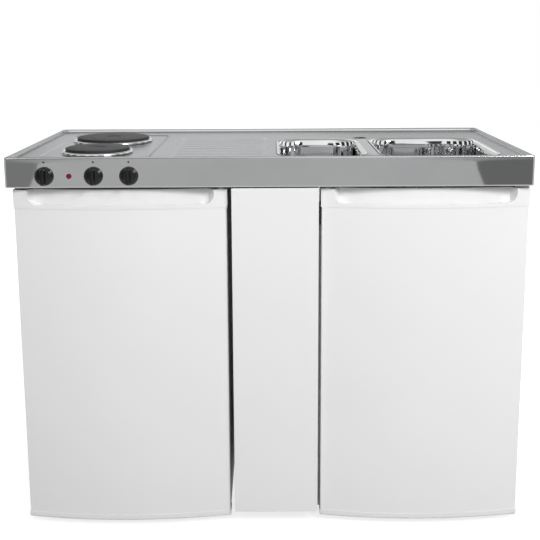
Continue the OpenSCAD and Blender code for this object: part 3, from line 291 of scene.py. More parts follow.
@dataclass(frozen=True)
class PressedSteel:
    """The worktop's sheet: brushed on the deck, smooth on the fascia, rubbed smooth between the bowls, with
    a painted highlight there.
    """

    name: str
    colour: Colour = (0.56, 0.565, 0.57)
    edge_tint: Colour = (0.70, 0.705, 0.71)
    tones: Point2 = (0.965, 1.03)
    roughness: float = 0.20
    fascia_roughness: float = 0.03
    fold_z: Point2 = (0.884, 0.894)
    saddle: Point3 = (0.2455, -0.05, 0.893)
    saddle_w: float = 0.017
    saddle_d: float = 0.17
    saddle_edge: Point2 = (0.75, 1.25)
    saddle_painted_highlight: float = 1.3
    grain_relief: float = 0.0000015
    dent_relief: float = 0.0006

    def build(self) -> bpy.types.Material:
        """Makes the worktop's material.

        Returns:
            The material.
        """
        g = Graph(self.name)
        fine = g.noise(900.0, Grain.ALONG_X.value, 4.0)
        broad = g.noise(6.0)
        rubbed = g.noise(60.0, (0.15, 1.0, 1.0), 2.0)
        dents = g.noise(34.0, detail=1.0)
        deck = g.part(g.place(), "Z").clipped(*self.fold_z)
        reach = g.distance((1.0 / self.saddle_w, 1.0 / self.saddle_d, 0.0), self.saddle)
        # Mask of the rubbed strip between the bowls: it lowers the roughness and lightens the base colour
        # there as a painted highlight.
        polished = (1.0 - reach.clipped(*self.saddle_edge)) * deck
        colour = g.uneven(broad, self.colour, self.tones)
        brushed = fine.swing(0.05) + rubbed.swing(0.05) + self.roughness
        smooth = fine.swing(0.015) + self.fascia_roughness
        roughness = brushed * deck + smooth * (1.0 - deck)
        relief = fine * self.grain_relief + dents * polished * self.dent_relief
        return g.finish(
            # Painted highlight: the base colour is lighter on the rubbed strip between the bowls.
            Base_Color=g.blend(polished, colour, shade(self.colour, self.saddle_painted_highlight)),
            Metallic=1.0,
            Roughness=roughness * (1.0 - polished * 0.75),
            Specular_Tint=self.edge_tint,
            Normal=g.bump(relief, 1.0),
        )


@dataclass(frozen=True)
class PolishedSteel:
    """Mirror-polished stainless, wavy from the press below its lip."""

    name: str
    colour: Colour = (0.62, 0.625, 0.63)
    roughness: float = 0.045
    wave: float = 0.0035
    flutes: Point3 = (1.0, 1.0, 0.02)
    lip_z: Point2 = (0.876, 0.889)
    tones: Point2 = (0.94, 1.05)

    def build(self) -> bpy.types.Material:
        """Makes the polished material.

        Returns:
            The material.
        """
        g = Graph(self.name)
        waves = g.noise(13.0, self.flutes, 0.0)
        relief = waves * (1.0 - g.part(g.place(), "Z").clipped(*self.lip_z))
        scuffs = g.noise(420.0, (1.0, 1.0, 0.05))
        return g.finish(
            Base_Color=g.uneven(waves, self.colour, self.tones),
            Metallic=1.0,
            Roughness=scuffs.swing(0.04) + self.roughness,
            Normal=g.bump(relief, self.wave),
        )


@dataclass(frozen=True)
class TurnedIron:
    """Cast iron with turned rings round a centre, darkened by heat."""

    name: str
    centre: Point3
    colour: Colour = (0.03, 0.03, 0.032)
    tones: Point2 = (0.8, 1.25)
    pitch: float = 0.0011
    relief: float = 0.00006

    def build(self) -> bpy.types.Material:
        """Makes the plate's material.

        Returns:
            The material.
        """
        g = Graph(self.name)
        ring = (g.distance((1.0, 1.0, 0.0), self.centre) * (2 * math.pi / self.pitch)).sine()
        pits = g.noise(1400.0)
        heat = g.noise(14.0, detail=2.0)
        return g.finish(
            Base_Color=g.uneven(heat, self.colour, self.tones),
            Metallic=0.15,
            Roughness=pits.swing(0.2) + heat.swing(0.15) + 0.5,
            Specular_IOR_Level=0.1,
            Normal=g.bump(ring * 0.4 + pits, self.relief),
        )


@dataclass(frozen=True)
class SatinPaint:
    """Sprayed paint with a faint orange peel."""

    name: str
    colour: Colour = (0.84, 0.84, 0.845)
    tones: Point2 = (0.985, 1.01)
    roughness: float = 0.3
    peel: float = 0.00001

    def build(self) -> bpy.types.Material:
        """Makes the paint's material.

        Returns:
            The material.
        """
        g = Graph(self.name)
        peel = g.noise(420.0, detail=2.0)
        tone = g.noise(2.5, detail=2.0)
        return g.finish(
            Base_Color=g.uneven(tone, self.colour, self.tones),
            Roughness=peel.swing(0.05) + tone.swing(0.06) + self.roughness,
            Coat_Weight=0.15,
            Coat_Roughness=0.15,
            Normal=g.bump(peel, self.peel),
        )


@dataclass(frozen=True)
class Moulded:
    """A moulded plastic or rubber with a fine skin."""

    name: str
    colour: Colour
    roughness: float = 0.35
    skin: float = 900.0
    relief: float = 0.00001
    unevenness: float = 0.04
    shine: float = 0.5

    def build(self) -> bpy.types.Material:
        """Makes the moulding's material.

        Returns:
            The material.
        """
        g = Graph(self.name)
        skin = g.noise(self.skin, detail=2.0)
        flow = g.noise(11.0, detail=2.0)
        return g.finish(
            Base_Color=g.uneven(flow, self.colour, (1.0 - self.unevenness, 1.0 + self.unevenness)),
            Roughness=skin.swing(0.12) + flow.swing(0.08) + self.roughness,
            Specular_IOR_Level=self.shine,
            Normal=g.bump(skin, self.relief),
        )


@dataclass(frozen=True)
class ClearPlastic:
    """Clear moulded plastic or sheet glass, faintly tinted."""

    name: str
    colour: Colour = (0.88, 0.95, 0.95)
    roughness: float = 0.05
    ior: float = 1.5
    alpha: float = 0.35

    def build(self) -> bpy.types.Material:
        """Makes the clear material.

        Returns:
            The material.
        """
        g = Graph(self.name)
        haze = g.noise(35.0)
        return g.finish(
            Base_Color=g.uneven(haze, self.colour, (0.97, 1.0)),
            Roughness=haze.swing(0.06) + self.roughness,
            Alpha=haze.swing(0.05) + self.alpha,
            IOR=self.ior,
        )


@dataclass(frozen=True)
class Zinc:
    """Zinc-plated steel with its soft spangle."""

    name: str
    colour: Colour = (0.5, 0.51, 0.53)
    roughness: float = 0.38

    def build(self) -> bpy.types.Material:
        """Makes the plating's material.

        Returns:
            The material.
        """
        g = Graph(self.name)
        spangle = g.cells(160.0)
        fine = g.noise(700.0)
        return g.finish(
            Base_Color=g.uneven(spangle, self.colour, (0.88, 1.1), (0.0, 0.7)),
            Metallic=1.0,
            Roughness=fine.swing(0.1) + spangle * 0.12 + self.roughness,
            Normal=g.bump(fine, 0.00001),
        )


@dataclass(frozen=True)
class Softwood:
    """Planed softwood with year rings running along the batten."""

    name: str
    light: Colour = (0.42, 0.33, 0.22)
    dark: Colour = (0.28, 0.21, 0.13)

    def build(self) -> bpy.types.Material:
        """Makes the wood's material.

        Returns:
            The material.
        """
        g = Graph(self.name)
        rings = g.noise(90.0, (1.0, 0.03, 1.0), 4.0)
        pores = g.noise(1200.0, (1.0, 0.02, 1.0), 2.0)
        return g.finish(
            Base_Color=g.blend((rings * 0.8 + pores * 0.2).clipped(0.35, 0.65), self.dark, self.light),
            Roughness=pores.swing(0.2) + 0.6,
            Normal=g.bump(pores, 0.00008),
        )


@dataclass(frozen=True)
class RigidFoam:
    """Poured insulating foam with its open cut cells."""

    name: str
    colour: Colour = (0.80, 0.66, 0.36)

    def build(self) -> bpy.types.Material:
        """Makes the foam's material.

        Returns:
            The material.
        """
        g = Graph(self.name)
        tone = g.noise(16.0)
        return g.finish(
            Base_Color=g.uneven(tone, self.colour, (0.9, 1.08)),
            Roughness=tone.swing(0.1) + 0.85,
            Normal=g.bump(g.cells(500.0), 0.0004),
        )


# ------------------------------------------------------------------------ meshes

SHEET = 1.0
WELD = 0.000005
FLAT = 0.15


def between(a: Sequence[float], b: Sequence[float], t: float) -> Point2:
    """The place a share t of the way from one point to another, seen from above."""
    return (a[0] + (b[0] - a[0]) * t, a[1] + (b[1] - a[1]) * t)


def rounded(w: float, d: float, r: float, centre: Point2, steps: int, straights: Point2) -> list[Point2]:
    """Outline of a rounded rectangle, anticlockwise from its right-hand side.

    Args:
        w: Width along X.
        d: Depth along Y.
        r: Corner radius.
        centre: The middle.
        steps: Steps round each corner.
        straights: Steps along the sides that run in X and in Y.

    Returns:
        The outline's points.
    """

    def on_arc(corner: int, quarters: float) -> Point2:
        """A point on a corner's arc.

        Args:
            corner: The corner's number.
            quarters: The angle in quarter turns.

        Returns:
            The point.
        """
        side_x = 1 if corner in (0, 3) else -1
        side_y = 1 if corner < 2 else -1
        angle = math.pi / 2 * quarters
        return (
            centre[0] + side_x * (w / 2 - r) + r * math.cos(angle),
            centre[1] + side_y * (d / 2 - r) + r * math.sin(angle),
        )

    points: list[Point2] = []
    for corner in range(4):
        points += [on_arc(corner, corner + i / steps) for i in range(steps + 1)]
        start, goal = points[-1], on_arc((corner + 1) % 4, corner + 1)
        along = int(straights[corner % 2])
        points += [
            (start[0] + (goal[0] - start[0]) * i / along, start[1] + (goal[1] - start[1]) * i / along)
            for i in range(1, along)
        ]
    return points


def circle(centre: Point2, r: float, steps: int) -> list[Point2]:
    """Gives a number of points on a circle, anticlockwise."""
    turn = 2 * math.pi / steps
    return [(centre[0] + r * math.cos(i * turn), centre[1] + r * math.sin(i * turn)) for i in range(steps)]


def inside(point: Point2, centre: Point2, w: float, d: float, r: float) -> float:
    """How far a point lies inside a rounded rectangle; outside it the number is negative.

    Args:
        point: The point's place along X and Y.
        centre: The rectangle's middle.
        w: Its width.
        d: Its depth.
        r: Its corner radius.

    Returns:
        The distance to the outline in millimetres.
    """
    qx = abs(point[0] - centre[0]) - w / 2 + r
    qy = abs(point[1] - centre[1]) - d / 2 + r
    return r - math.hypot(max(qx, 0.0), max(qy, 0.0)) - min(max(qx, qy), 0.0)


def rise(value: float, low: float, high: float) -> float:
    """Goes smoothly from 0 at low to 1 at high."""
    t = min(1.0, max(0.0, (value - low) / (high - low)))
    return t * t * (3 - 2 * t)


def ring_faces(count: int, rings: int) -> Faces:
    """Faces between rings of equal length.

    Args:
        count: Points in a ring.
        rings: Number of rings.

    Returns:
        Quads as index lists.
    """
    return [
        [i * count + j, i * count + after, (i + 1) * count + after, (i + 1) * count + j]
        for i in range(rings - 1)
        for j, after in ((j, (j + 1) % count) for j in range(count))
    ]


@contextmanager
def edited(mesh: bpy.types.Mesh) -> Iterator[bmesh.types.BMesh]:
    """Opens a mesh for editing and writes it back.

    Args:
        mesh: The mesh.

    Yields:
        Its faces, edges and corners, open for changes.
    """
    work = bmesh.new()
    work.from_mesh(mesh)
    yield work
    work.to_mesh(mesh)
    work.free()


def smooth(mesh: bpy.types.Mesh, crease: float) -> None:
    """Shades a mesh smoothly, except over edges that bend by more than the crease in degrees."""
    mesh.polygons.foreach_set("use_smooth", [True] * len(mesh.polygons))
    mesh.set_sharp_from_angle(angle=math.radians(crease))


def placed(name: str, mesh: bpy.types.Mesh) -> bpy.types.Object:
    """Puts a mesh into the scene as an object at the origin.

    Args:
        name: The object's name.
        mesh: Its mesh.

    Returns:
        The new object.
    """
    made = bpy.data.objects.new(name, mesh)
    bpy.context.scene.collection.objects.link(made)
    return made


def mesh_piece(
    name: str, points: Sequence[Point3], faces: Sequence[Sequence[int]], crease: float = 32.0
) -> bpy.types.Object:
    """Makes an object from points in millimetres.

    Args:
        name: The piece's name.
        points: Places in millimetres.
        faces: Index lists.
        crease: Angle in degrees above which an edge stays sharp.

    Returns:
        The new object, standing at the origin.
    """
    mesh = bpy.data.meshes.new(name)
    mesh.from_pydata([tuple(c * MM for c in p) for p in points], [], faces)
    mesh.validate()
    mesh.update()
    smooth(mesh, crease)
    return placed(name, mesh)


def turned(
    name: str,
    profile: Sequence[Point2],
    centre: Point3,
    forwards: bool = False,
    steps: int = 96,
    crease: float = 32.0,
) -> bpy.types.Object:
    """Turns a profile of (radius, height) pairs round an axis.

    Args:
        name: The piece's name.
        profile: Radius and height of each point, in millimetres.
        centre: The place of height 0 on the axis.
        forwards: Whether the axis points to the front instead of upwards.
        steps: Steps round the axis.
        crease: Angle above which an edge stays sharp.

    Returns:
        The new object.
    """
    x, y, z = centre
    points: list[Point3] = []
    for r, h in profile:
        for u, v in circle((0.0, 0.0), max(r, 0.001), steps):
            points.append((x + u, y - h, z + v) if forwards else (x + u, y + v, z + h))
    piece = mesh_piece(name, points, ring_faces(steps, len(profile)), crease)
    with edited(piece.data) as work:
        bmesh.ops.remove_doubles(work, verts=work.verts, dist=WELD)
    smooth(piece.data, crease)
    return piece


def eased(name: str, node: str, width: float, steps: int = 2, crease: float = 30.0) -> bpy.types.Object:
    """Copies a solid's surface and rounds its edges.

    Args:
        name: The new piece's name.
        node: The solid's node.
        width: Width of the rounded edge in millimetres.
        steps: Steps across a rounded edge.
        crease: Angle in degrees above which an edge is rounded.

    Returns:
        The new object.
    """
    mesh = frame["nodes"][node].data.copy()
    mesh.name = name
    mesh.materials.clear()
    with edited(mesh) as work:
        bmesh.ops.remove_doubles(work, verts=work.verts, dist=WELD)
        flat = math.radians(FLAT)
        bmesh.ops.dissolve_limit(work, angle_limit=flat, verts=work.verts, edges=work.edges)
        bmesh.ops.recalc_face_normals(work, faces=work.faces)
    if mesh.has_custom_normals:
        mesh.attributes.remove(mesh.attributes["custom_normal"])
    smooth(mesh, crease)
    made = placed(name, mesh)
    soft = made.modifiers.new("edges", "BEVEL")
    soft.width = width * MM
    soft.segments = steps
    soft.limit_method = "ANGLE"
    soft.angle_limit = math.radians(crease)
    soft.use_clamp_overlap = True
    soft.harden_normals = True
    return made


def thicken(piece: bpy.types.Object) -> bpy.types.Object:
    """Gives an open surface its sheet thickness, inwards.

    Args:
        piece: The surface.

    Returns:
        The same object.
    """
    sheet = piece.modifiers.new("sheet", "SOLIDIFY")
    sheet.thickness = SHEET * MM
    sheet.offset = -1.0
    sheet.use_even_offset = True
    sheet.use_quality_normals = True
    return piece


def settle(
    piece: bpy.types.Object, body: str, slot: str, finish: bpy.types.Material, *nodes: str
) -> bpy.types.Object:
    """Dresses a piece, lets it ride on its body and stand for its nodes.

    Args:
        piece: The piece.
        body: The body that it moves with.
        slot: The record's slot of its finish; not used.
        finish: Its material.
        nodes: The nodes that it stands for.

    Returns:
        The same object.
    """
    piece.data.materials.clear()
    piece.data.materials.append(finish)
    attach(piece, body)
    if nodes:
        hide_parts(*nodes)
    LOG.info("%s rides on %s and has %d faces", piece.name, body, len(piece.data.polygons))
    return piece


def dress(finish: bpy.types.Material, *nodes: str) -> None:
    """Gives nodes that stay a better material.

    Args:
        finish: The material.
        nodes: The nodes' names.
    """
    for node in nodes:
        slots = frame["nodes"][node].data.materials
        slots.clear()
        slots.append(finish)
        LOG.info("%s stays and is dressed in %s", node, finish.name)


# --------------------------------------------------------------------- the unit

FRONT_Y = -288.0
BACK_Y = 312.0
DECK_Z = 893.0
RIM_Z = 900.0
FASCIA_Z = 830.0


@dataclass(frozen=True)
class Patch:
    """A rounded rectangle seen from above: its ends along X and Y and its corners' radius."""

    x: Point2
    y: Point2
    r: float

    @property
    def centre(self) -> Point2:
        """Its middle."""
        return (sum(self.x) / 2, sum(self.y) / 2)

    @property
    def size(self) -> Point2:
        """Its width and depth."""
        return (self.x[1] - self.x[0], self.y[1] - self.y[0])

    def depth(self, point: Point2) -> float:
        """How far a point lies inside it."""
        return inside(point, self.centre, *self.size, self.r)

    def ring(self, inset: float, steps: int, straights: Point2) -> list[Point2]:
        """Its outline moved inwards, with steps as in rounded."""
        w, d = self.size
        return rounded(w - 2 * inset, d - 2 * inset, self.r - inset, self.centre, steps, straights)


@dataclass
class Bowl:
    """One pressed bowl, its lip flush with the deck."""

    name: str
    node: str
    x: float
    w: float
    d: float
    deep: float
    straights: Point2
    y0: float = 32.0
    r: float = 74.0
    lip: float = 10.0
    lean: float = 5.0
    foot: float = 36.0
    waste_r: float = 42.0
    waste_y: float = -73.0
    recess_r: float = 52.5
    recess_lip: float = 1.5
    recess_edge: tuple[Point2, ...] = ((0.7, 0.12), (0.0, 0.5), (-0.6, 1.5), (-1.0, 1.9), (-1.6, 2.0))
    steps: int = 14
    crease: float = 50.0

    @property
    def centre(self) -> Point2:
        """The middle of the bowl's mouth."""
        return (self.x, FRONT_Y + self.y0 + self.d / 2)

    def ring(self, outset: float) -> list[Point2]:
        """Outline of the bowl's mouth, moved outwards."""
        w, d, r = self.w + 2 * outset, self.d + 2 * outset, self.r + outset
        return rounded(w, d, r, self.centre, self.steps, self.straights)

    def round_ring(self, r: float) -> list[Point2]:
        """A circle round the waste with as many points as the bowl's outline."""
        return rounded(2 * r, 2 * r, r - 0.05, (self.x, self.waste_y), self.steps, self.straights)

    def wall(self) -> list[Point2]:
        """Section of the bowl's wall: over the lip, down the leaning side and round the foot.

        Returns:
            Pairs of distance outwards and height.
        """
        top, low = DECK_Z - self.lip, DECK_Z - self.deep + self.foot
        levels: list[Point2] = []
        for i in range(8):
            a = math.pi / 2 + math.pi / 2 * i / 7
            levels.append((self.lip * math.cos(a), top + self.lip * math.sin(a)))
        for i in range(1, 6):
            t = i / 6
            levels.append((-self.lip - self.lean * t, top + (low - top) * t))
        for i in range(11):
            a = -math.pi / 2 * i / 10
            out = -self.lip - self.lean - self.foot + self.foot * math.cos(a)
            levels.append((out, low + self.foot * math.sin(a)))
        return levels

    def build(self) -> bpy.types.Object:
        """Makes the bowl's sheet from its lip to the hole of the waste.

        Returns:
            The new object.
        """
        floor_z = DECK_Z - self.deep
        levels = self.wall()
        rings = [[(*p, z) for p in self.ring(out)] for out, z in levels]
        floor = self.ring(levels[-1][0])
        recess = self.round_ring(self.recess_r + self.recess_lip)
        for t in (0.25, 0.5, 0.75, 1.0):
            rings.append([(*between(a, b, t), floor_z) for a, b in zip(floor, recess)])
        for out, drop in self.recess_edge:
            rings.append([(*p, floor_z - drop) for p in self.round_ring(self.recess_r + out)])
        rings.append([(*p, floor_z - self.recess_edge[-1][1]) for p in self.round_ring(self.waste_r)])
        points = [p for ring in rings for p in ring]
        faces = [list(reversed(face)) for face in ring_faces(len(floor), len(rings))]
        return thicken(mesh_piece(self.name, points, faces, self.crease))


@dataclass
class Worktop:
    """The pressed sheet with its rims, fascia, drainer and hob field."""

    bowls: list[Bowl]
    plates: list[tuple[Point2, float]]
    sheet: Patch = Patch((-600.0, 600.0), (FRONT_Y, BACK_Y), 6.0)
    floor: Patch = Patch((-588.0, 588.0), (FRONT_Y + 12.0, BACK_Y - 20.0), 14.0)
    pan: Patch = Patch((-240.0, -2.0), (-242.0, 136.0), 18.0)
    pan_sink: float = 1.5
    pan_slope: float = 7.0
    rib_count: int = 8
    rib_w: float = 15.0
    rib_ends: Point2 = (8.0, 6.0)
    rib_fade: float = 10.0
    hob: Patch = Patch((-540.0, -274.0), (-246.0, 206.0), 26.0)
    bead_w: float = 8.0
    bead_h: float = 2.0
    seat_out: float = 10.5
    seat_h: float = 2.5
    seat_slope: float = 4.0
    tap: Point2 = (245.5, 126.0)
    tap_r: float = 17.5
    clear: float = 6.0
    plate_lap: float = 6.0
    bowl_gap: float = 0.1
    open_back_z: float = 869.5
    fold_z: float = 832.0
    fold_back: float = 13.0
    fold_reach: float = 40.0
    crease: float = 40.0
    steps: int = 6
    straights: Point2 = (60, 30)
    rim: tuple[Point2, ...] = (
        (0.05, 893.2), (0.11, 894.2), (0.17, 896.6), (0.23, 898.9), (0.30, 899.7), (0.40, RIM_Z),
        (0.72, RIM_Z), (0.84, 899.7), (0.93, 898.9), (0.98, 897.7), (1.0, 896.2), (1.0, 895.0),
        (1.0, 870.0), (1.0, 869.0), (1.0, 833.0), (0.995, 831.5), (0.95, 830.4), (0.86, FASCIA_Z),
    )

    @property
    def rib_pitch(self) -> float:
        """Distance from one rib of the drainer to the next."""
        return self.pan.size[1] / self.rib_count

    def height(self, x: float, y: float) -> float:
        """Height of the pressed deck over the floor.

        Args:
            x: Place along X in millimetres.
            y: Place along Y in millimetres.

        Returns:
            The height in millimetres.
        """
        z = DECK_Z
        deep = self.pan.depth((x, y))
        if deep > 0:
            across = (y - self.pan.y[0]) % self.rib_pitch - self.rib_pitch / 2
            end = min(x - self.pan.x[0] - self.rib_ends[0], self.pan.x[1] - self.rib_ends[1] - x)
            rib = 0.0
            if abs(across) < self.rib_w / 2 and end > 0:
                rib = math.cos(math.pi * across / self.rib_w) ** 2 * rise(end, 0, self.rib_fade)
            z -= self.pan_sink * rise(deep, 0, self.pan_slope) * (1 - rib)
        bead = self.hob.depth((x, y))
        if 0 < bead < self.bead_w:
            z += self.bead_h * math.sin(math.pi * bead / self.bead_w) ** 2
        for centre, r in self.plates:
            away = math.hypot(x - centre[0], y - centre[1]) - r - self.seat_out
            z += self.seat_h * rise(-away, 0, self.seat_slope)
        return z

    def loops(self) -> list[list[Point2]]:
        """Closed outlines that the deck's mesh keeps: its edge first, then its holes.

        Returns:
            Lists of points.
        """
        found = [self.floor.ring(0.0, self.steps, self.straights)]
        found += [bowl.ring(self.bowl_gap) for bowl in self.bowls]
        found += [circle(centre, r - self.plate_lap, 72) for centre, r in self.plates]
        found.append(circle(self.tap, self.tap_r, 36))
        return found

    def pan_points(self) -> list[Point2]:
        """Points on the drainer: dense at its ends and over its ribs.

        Returns:
            The points.
        """
        near, beyond, columns = (0.0, 1.0, 2.0, 3.5, 5.0, 6.5, 8.0, 10.0, 13.0, 17.0), 1.5, 20
        (x0, x1), (y0, y1), far = self.pan.x, self.pan.y, near[-1]
        xs = [x0 - beyond, x1 + beyond] + [x0 + n for n in near] + [x1 - n for n in near]
        xs += [x0 + far + (x1 - x0 - 2 * far) * i / columns for i in range(1, columns)]
        ys = [y0 - beyond, y1 + beyond] + [y0 + n for n in near[:6]] + [y1 - n for n in near[:6]]
        for i in range(self.rib_count):
            middle = y0 + self.rib_pitch * (i + 0.5)
            ys += [middle + self.rib_w * k / 12 for k in range(-7, 8)]
        return [(x, y) for x in sorted(set(xs)) for y in sorted(set(ys))]

    def scatter(self) -> list[Point2]:
        """Free points: dense where the sheet is pressed, sparse where it is flat.

        Returns:
            The points.
        """
        points = self.pan_points()
        for k in range(-1, 10):
            points += self.hob.ring(self.bead_w * k / 8, 8, (36, 60))
        for centre, r in self.plates:
            for off in (-1.0, 0.0, 1.0, 2.0, 3.0, 4.0, 5.0, 11.0):
                points += circle(centre, r + self.seat_out - off, 90)
        for bowl in self.bowls:
            points += bowl.ring(4.0) + bowl.ring(12.0)
        points += circle(self.tap, self.tap_r + 4, 36)
        points += self.floor.ring(4.0, self.steps, self.straights)
        (w, d), (cx, cy) = self.floor.size, self.floor.centre
        edge, columns, rows = 20, 56, 26
        grid = [
            (cx - w / 2 + edge + (w - 2 * edge) * i / columns, cy - d / 2 + edge + (d - 2 * edge) * j / rows)
            for i in range(columns + 1)
            for j in range(rows + 1)
        ]
        return points + [p for p in grid if self.is_plain(*p)]

    def is_plain(self, x: float, y: float) -> bool:
        """Tells whether a point lies on flat sheet, clear of what is pressed into it.

        Args:
            x: Place along X.
            y: Place along Y.

        Returns:
            True where a sparse point may go.
        """
        on_pan = inside((x, y), self.pan.centre, *self.pan.size, 0) > -self.clear
        on_bead = -self.clear < self.hob.depth((x, y)) < self.bead_w + self.clear
        at_plate = any(
            math.hypot(x - c[0], y - c[1]) < r + self.seat_out + self.clear for c, r in self.plates
        )
        at_tap = math.hypot(x - self.tap[0], y - self.tap[1]) <= self.tap_r + 8
        return not (on_pan or on_bead or at_plate or at_tap)

    def in_hole(self, x: float, y: float) -> bool:
        """Tells whether a point lies in one of the deck's holes.

        Args:
            x: Place along X.
            y: Place along Y.

        Returns:
            True inside a hole.
        """
        gap, slack = self.bowl_gap, 0.05
        in_bowl = any(
            inside((x, y), bowl.centre, bowl.w + 2 * gap, bowl.d + 2 * gap, bowl.r + gap) > 0.01
            for bowl in self.bowls
        )
        under = any(math.hypot(x - c[0], y - c[1]) < r - self.plate_lap - slack for c, r in self.plates)
        return in_bowl or under or math.hypot(x - self.tap[0], y - self.tap[1]) < self.tap_r - slack

    def deck(self) -> tuple[list[Point3], Faces, list[int]]:
        """Meshes the sunken deck.

        Returns:
            Its points, its faces, and which of the points lie round its edge.
        """
        flat: list[Point2] = []
        edges: list[tuple[int, int]] = []
        loops = self.loops()
        for loop in loops:
            start = len(flat)
            flat += loop
            edges += [(start + i, start + (i + 1) % len(loop)) for i in range(len(loop))]
        flat += [p for p in self.scatter() if self.floor.depth(p) > 1.0 and not self.in_hole(*p)]
        verts, _, faces, origins, *_ = delaunay_2d_cdt([Vector(p) for p in flat], edges, [], 0, 0.02)
        kept = []
        for face in faces:
            x = sum(verts[i].x for i in face) / 3
            y = sum(verts[i].y for i in face) / 3
            if not self.in_hole(x, y) and self.floor.depth((x, y)) > 0:
                kept.append(list(face))
        order = {source: i for i, sources in enumerate(origins) for source in sources}
        points = [(v.x, v.y, self.height(v.x, v.y)) for v in verts]
        return points, kept, [order[i] for i in range(len(loops[0]))]

    def build(self) -> bpy.types.Object:
        """Makes the whole sheet: the deck, the rims, the fascia and the folds.

        Returns:
            The new object.
        """
        points, faces, before = self.deck()
        inner = self.floor.ring(0.0, self.steps, self.straights)
        outer = self.sheet.ring(0.0, self.steps, self.straights)
        count = len(inner)
        for t, z in self.rim:
            start = len(points)
            for a, b in zip(inner, outer):
                stays = z < self.fold_z and a[1] >= FRONT_Y + self.fold_reach
                points.append((*between(a, b, 1.0 if stays else t), z))
            ring = list(range(start, start + count))
            for i in range(count):
                j = (i + 1) % count
                rear = min(outer[i][1], outer[j][1]) > BACK_Y - 1.0
                if not rear or z > self.open_back_z:
                    faces.append([before[i], before[j], ring[j], ring[i]])
            before = ring
        self.fold(points, faces, before, outer)
        piece = mesh_piece("worktop_sheet", points, faces, self.crease)
        with edited(piece.data) as work:
            loose = [v for v in work.verts if not v.link_faces]
            bmesh.ops.delete(work, geom=loose, context="VERTS")
            bmesh.ops.recalc_face_normals(work, faces=work.faces)
            if sum(f.normal.z * f.calc_area() for f in work.faces) < 0:
                bmesh.ops.reverse_faces(work, faces=work.faces)
        smooth(piece.data, self.crease)
        return thicken(piece)

    def fold(self, points: list[Point3], faces: Faces, before: list[int], outer: list[Point2]) -> None:
        """Adds the fold that runs back under the fascia.

        Args:
            points: The sheet's points, which grow.
            faces: The sheet's faces, which grow.
            before: Indices of the fascia's lowest ring.
            outer: The sheet's outline.
        """
        front = [i for i in range(len(outer)) if outer[i][1] < FRONT_Y + 0.01]
        front.sort(key=lambda i: outer[i][0])
        start = len(points)
        points += [(outer[i][0], FRONT_Y + self.fold_back, FASCIA_Z) for i in front]
        for k in range(len(front) - 1):
            faces.append([before[front[k]], before[front[k + 1]], start + k + 1, start + k])


@dataclass
class Hotplate:
    """A cast plate in its bright spill ring."""

    name: str
    node: str
    x: float
    y: float
    d: float
    rise: float = 13.0
    seat_h: float = 2.5
    steps: int = 120

    def build(self) -> bpy.types.Object:
        """Makes the plate with its dished middle and turned edge.

        Returns:
            The new object.
        """
        r, top = self.d / 2, self.rise
        profile = [
            (0, top - 1.5), (14, top - 1.5), (17.5, top - 1.4), (19.5, top - 0.9), (21.5, top - 0.15),
            (23.5, top), (r - 3.0, top), (r - 1.6, top - 0.35), (r - 0.5, top - 1.2), (r - 0.1, top - 2.4),
            (r - 0.1, 6.2), (r - 0.8, 5.5), (r - 9, 5.5), (r - 9, -7), (r - 14, -7), (r - 14, 2),
            (9, 2), (9, -8), (3, -8), (3, -34), (0, -34),
        ]
        return turned(self.name, profile, (self.x, self.y, DECK_Z), steps=self.steps, crease=28.0)

    def ring(self) -> bpy.types.Object:
        """Makes the spill ring that lies round the plate.

        Returns:
            The new object.
        """
        r = self.d / 2
        profile = [
            (r - 7, 0), (r - 7, 2.7), (r + 1.2, 2.7), (r + 2.2, 3.2), (r + 3.4, 4.0), (r + 4.8, 4.4),
            (r + 6.2, 4.1), (r + 7.6, 3.0), (r + 8.6, 1.5), (r + 9, 0.2), (r + 9, 0), (r - 7, 0),
        ]
        seat = (self.x, self.y, DECK_Z + self.seat_h)
        return turned(self.name + "_spill_ring", profile, seat, steps=self.steps)


@dataclass
class Knob:
    """A black control knob with a grip bar across it."""

    name: str
    node: str
    body: str
    x: float
    z: float = 857.0
    d: float = 43.0
    bar: float = 10.0
    bar_inset: float = 2.6
    bar_levels: tuple[Point2, ...] = ((6.0, 0.0), (18.5, 0.35), (21.5, 0.7), (22.7, 1.4), (23.1, 2.6))
    air: float = 0.8
    crease: float = 34.0

    def skirt(self) -> bpy.types.Object:
        """Makes the turned skirt.

        Returns:
            The new object.
        """
        r = self.d / 2
        profile = [
            (0, 0), (r - 0.6, 0), (r, 0.6), (r, 2.6), (r - 0.5, 4.2), (r - 1.3, 6.2), (r - 2.6, 8.4),
            (r - 4.4, 9.7), (r - 6.5, 10.2), (0, 10.2),
        ]
        seat = (self.x, FRONT_Y - self.air, self.z)
        return turned(self.name, profile, seat, forwards=True, crease=self.crease)

    def grip(self) -> bpy.types.Object:
        """Makes the grip bar; its ends are rounded so that they stay inside the skirt.

        Returns:
            The new object.
        """
        half, reach = self.bar / 2, self.d / 2 - self.bar_inset
        points: list[Point3] = []
        for h, draw in self.bar_levels:
            w, length = 2 * (half - draw), 2 * (reach - draw * 0.9)
            outline = rounded(w, length, min(1.6, w / 2 - 0.1), (0.0, 0.0), 5, (3, 10))
            for u, v in outline:
                keep = math.sqrt(max(0.0, reach * reach - u * u)) / reach
                points.append((self.x + u, FRONT_Y - h, self.z + v * keep))
        count = len(outline)
        faces = ring_faces(count, len(self.bar_levels))
        faces.append(list(range(len(points) - count, len(points))))
        faces.append(list(reversed(range(count))))
        piece = mesh_piece(self.name + "_grip", points, faces, self.crease)
        with edited(piece.data) as work:
            bmesh.ops.recalc_face_normals(work, faces=work.faces)
        return piece

    def build(self) -> bpy.types.Object:
        """Joins the skirt and the grip bar.

        Returns:
            The whole knob.
        """
        skirt, grip = self.skirt(), self.grip()
        with edited(skirt.data) as work:
            work.from_mesh(grip.data)
        bpy.data.objects.remove(grip)
        return skirt


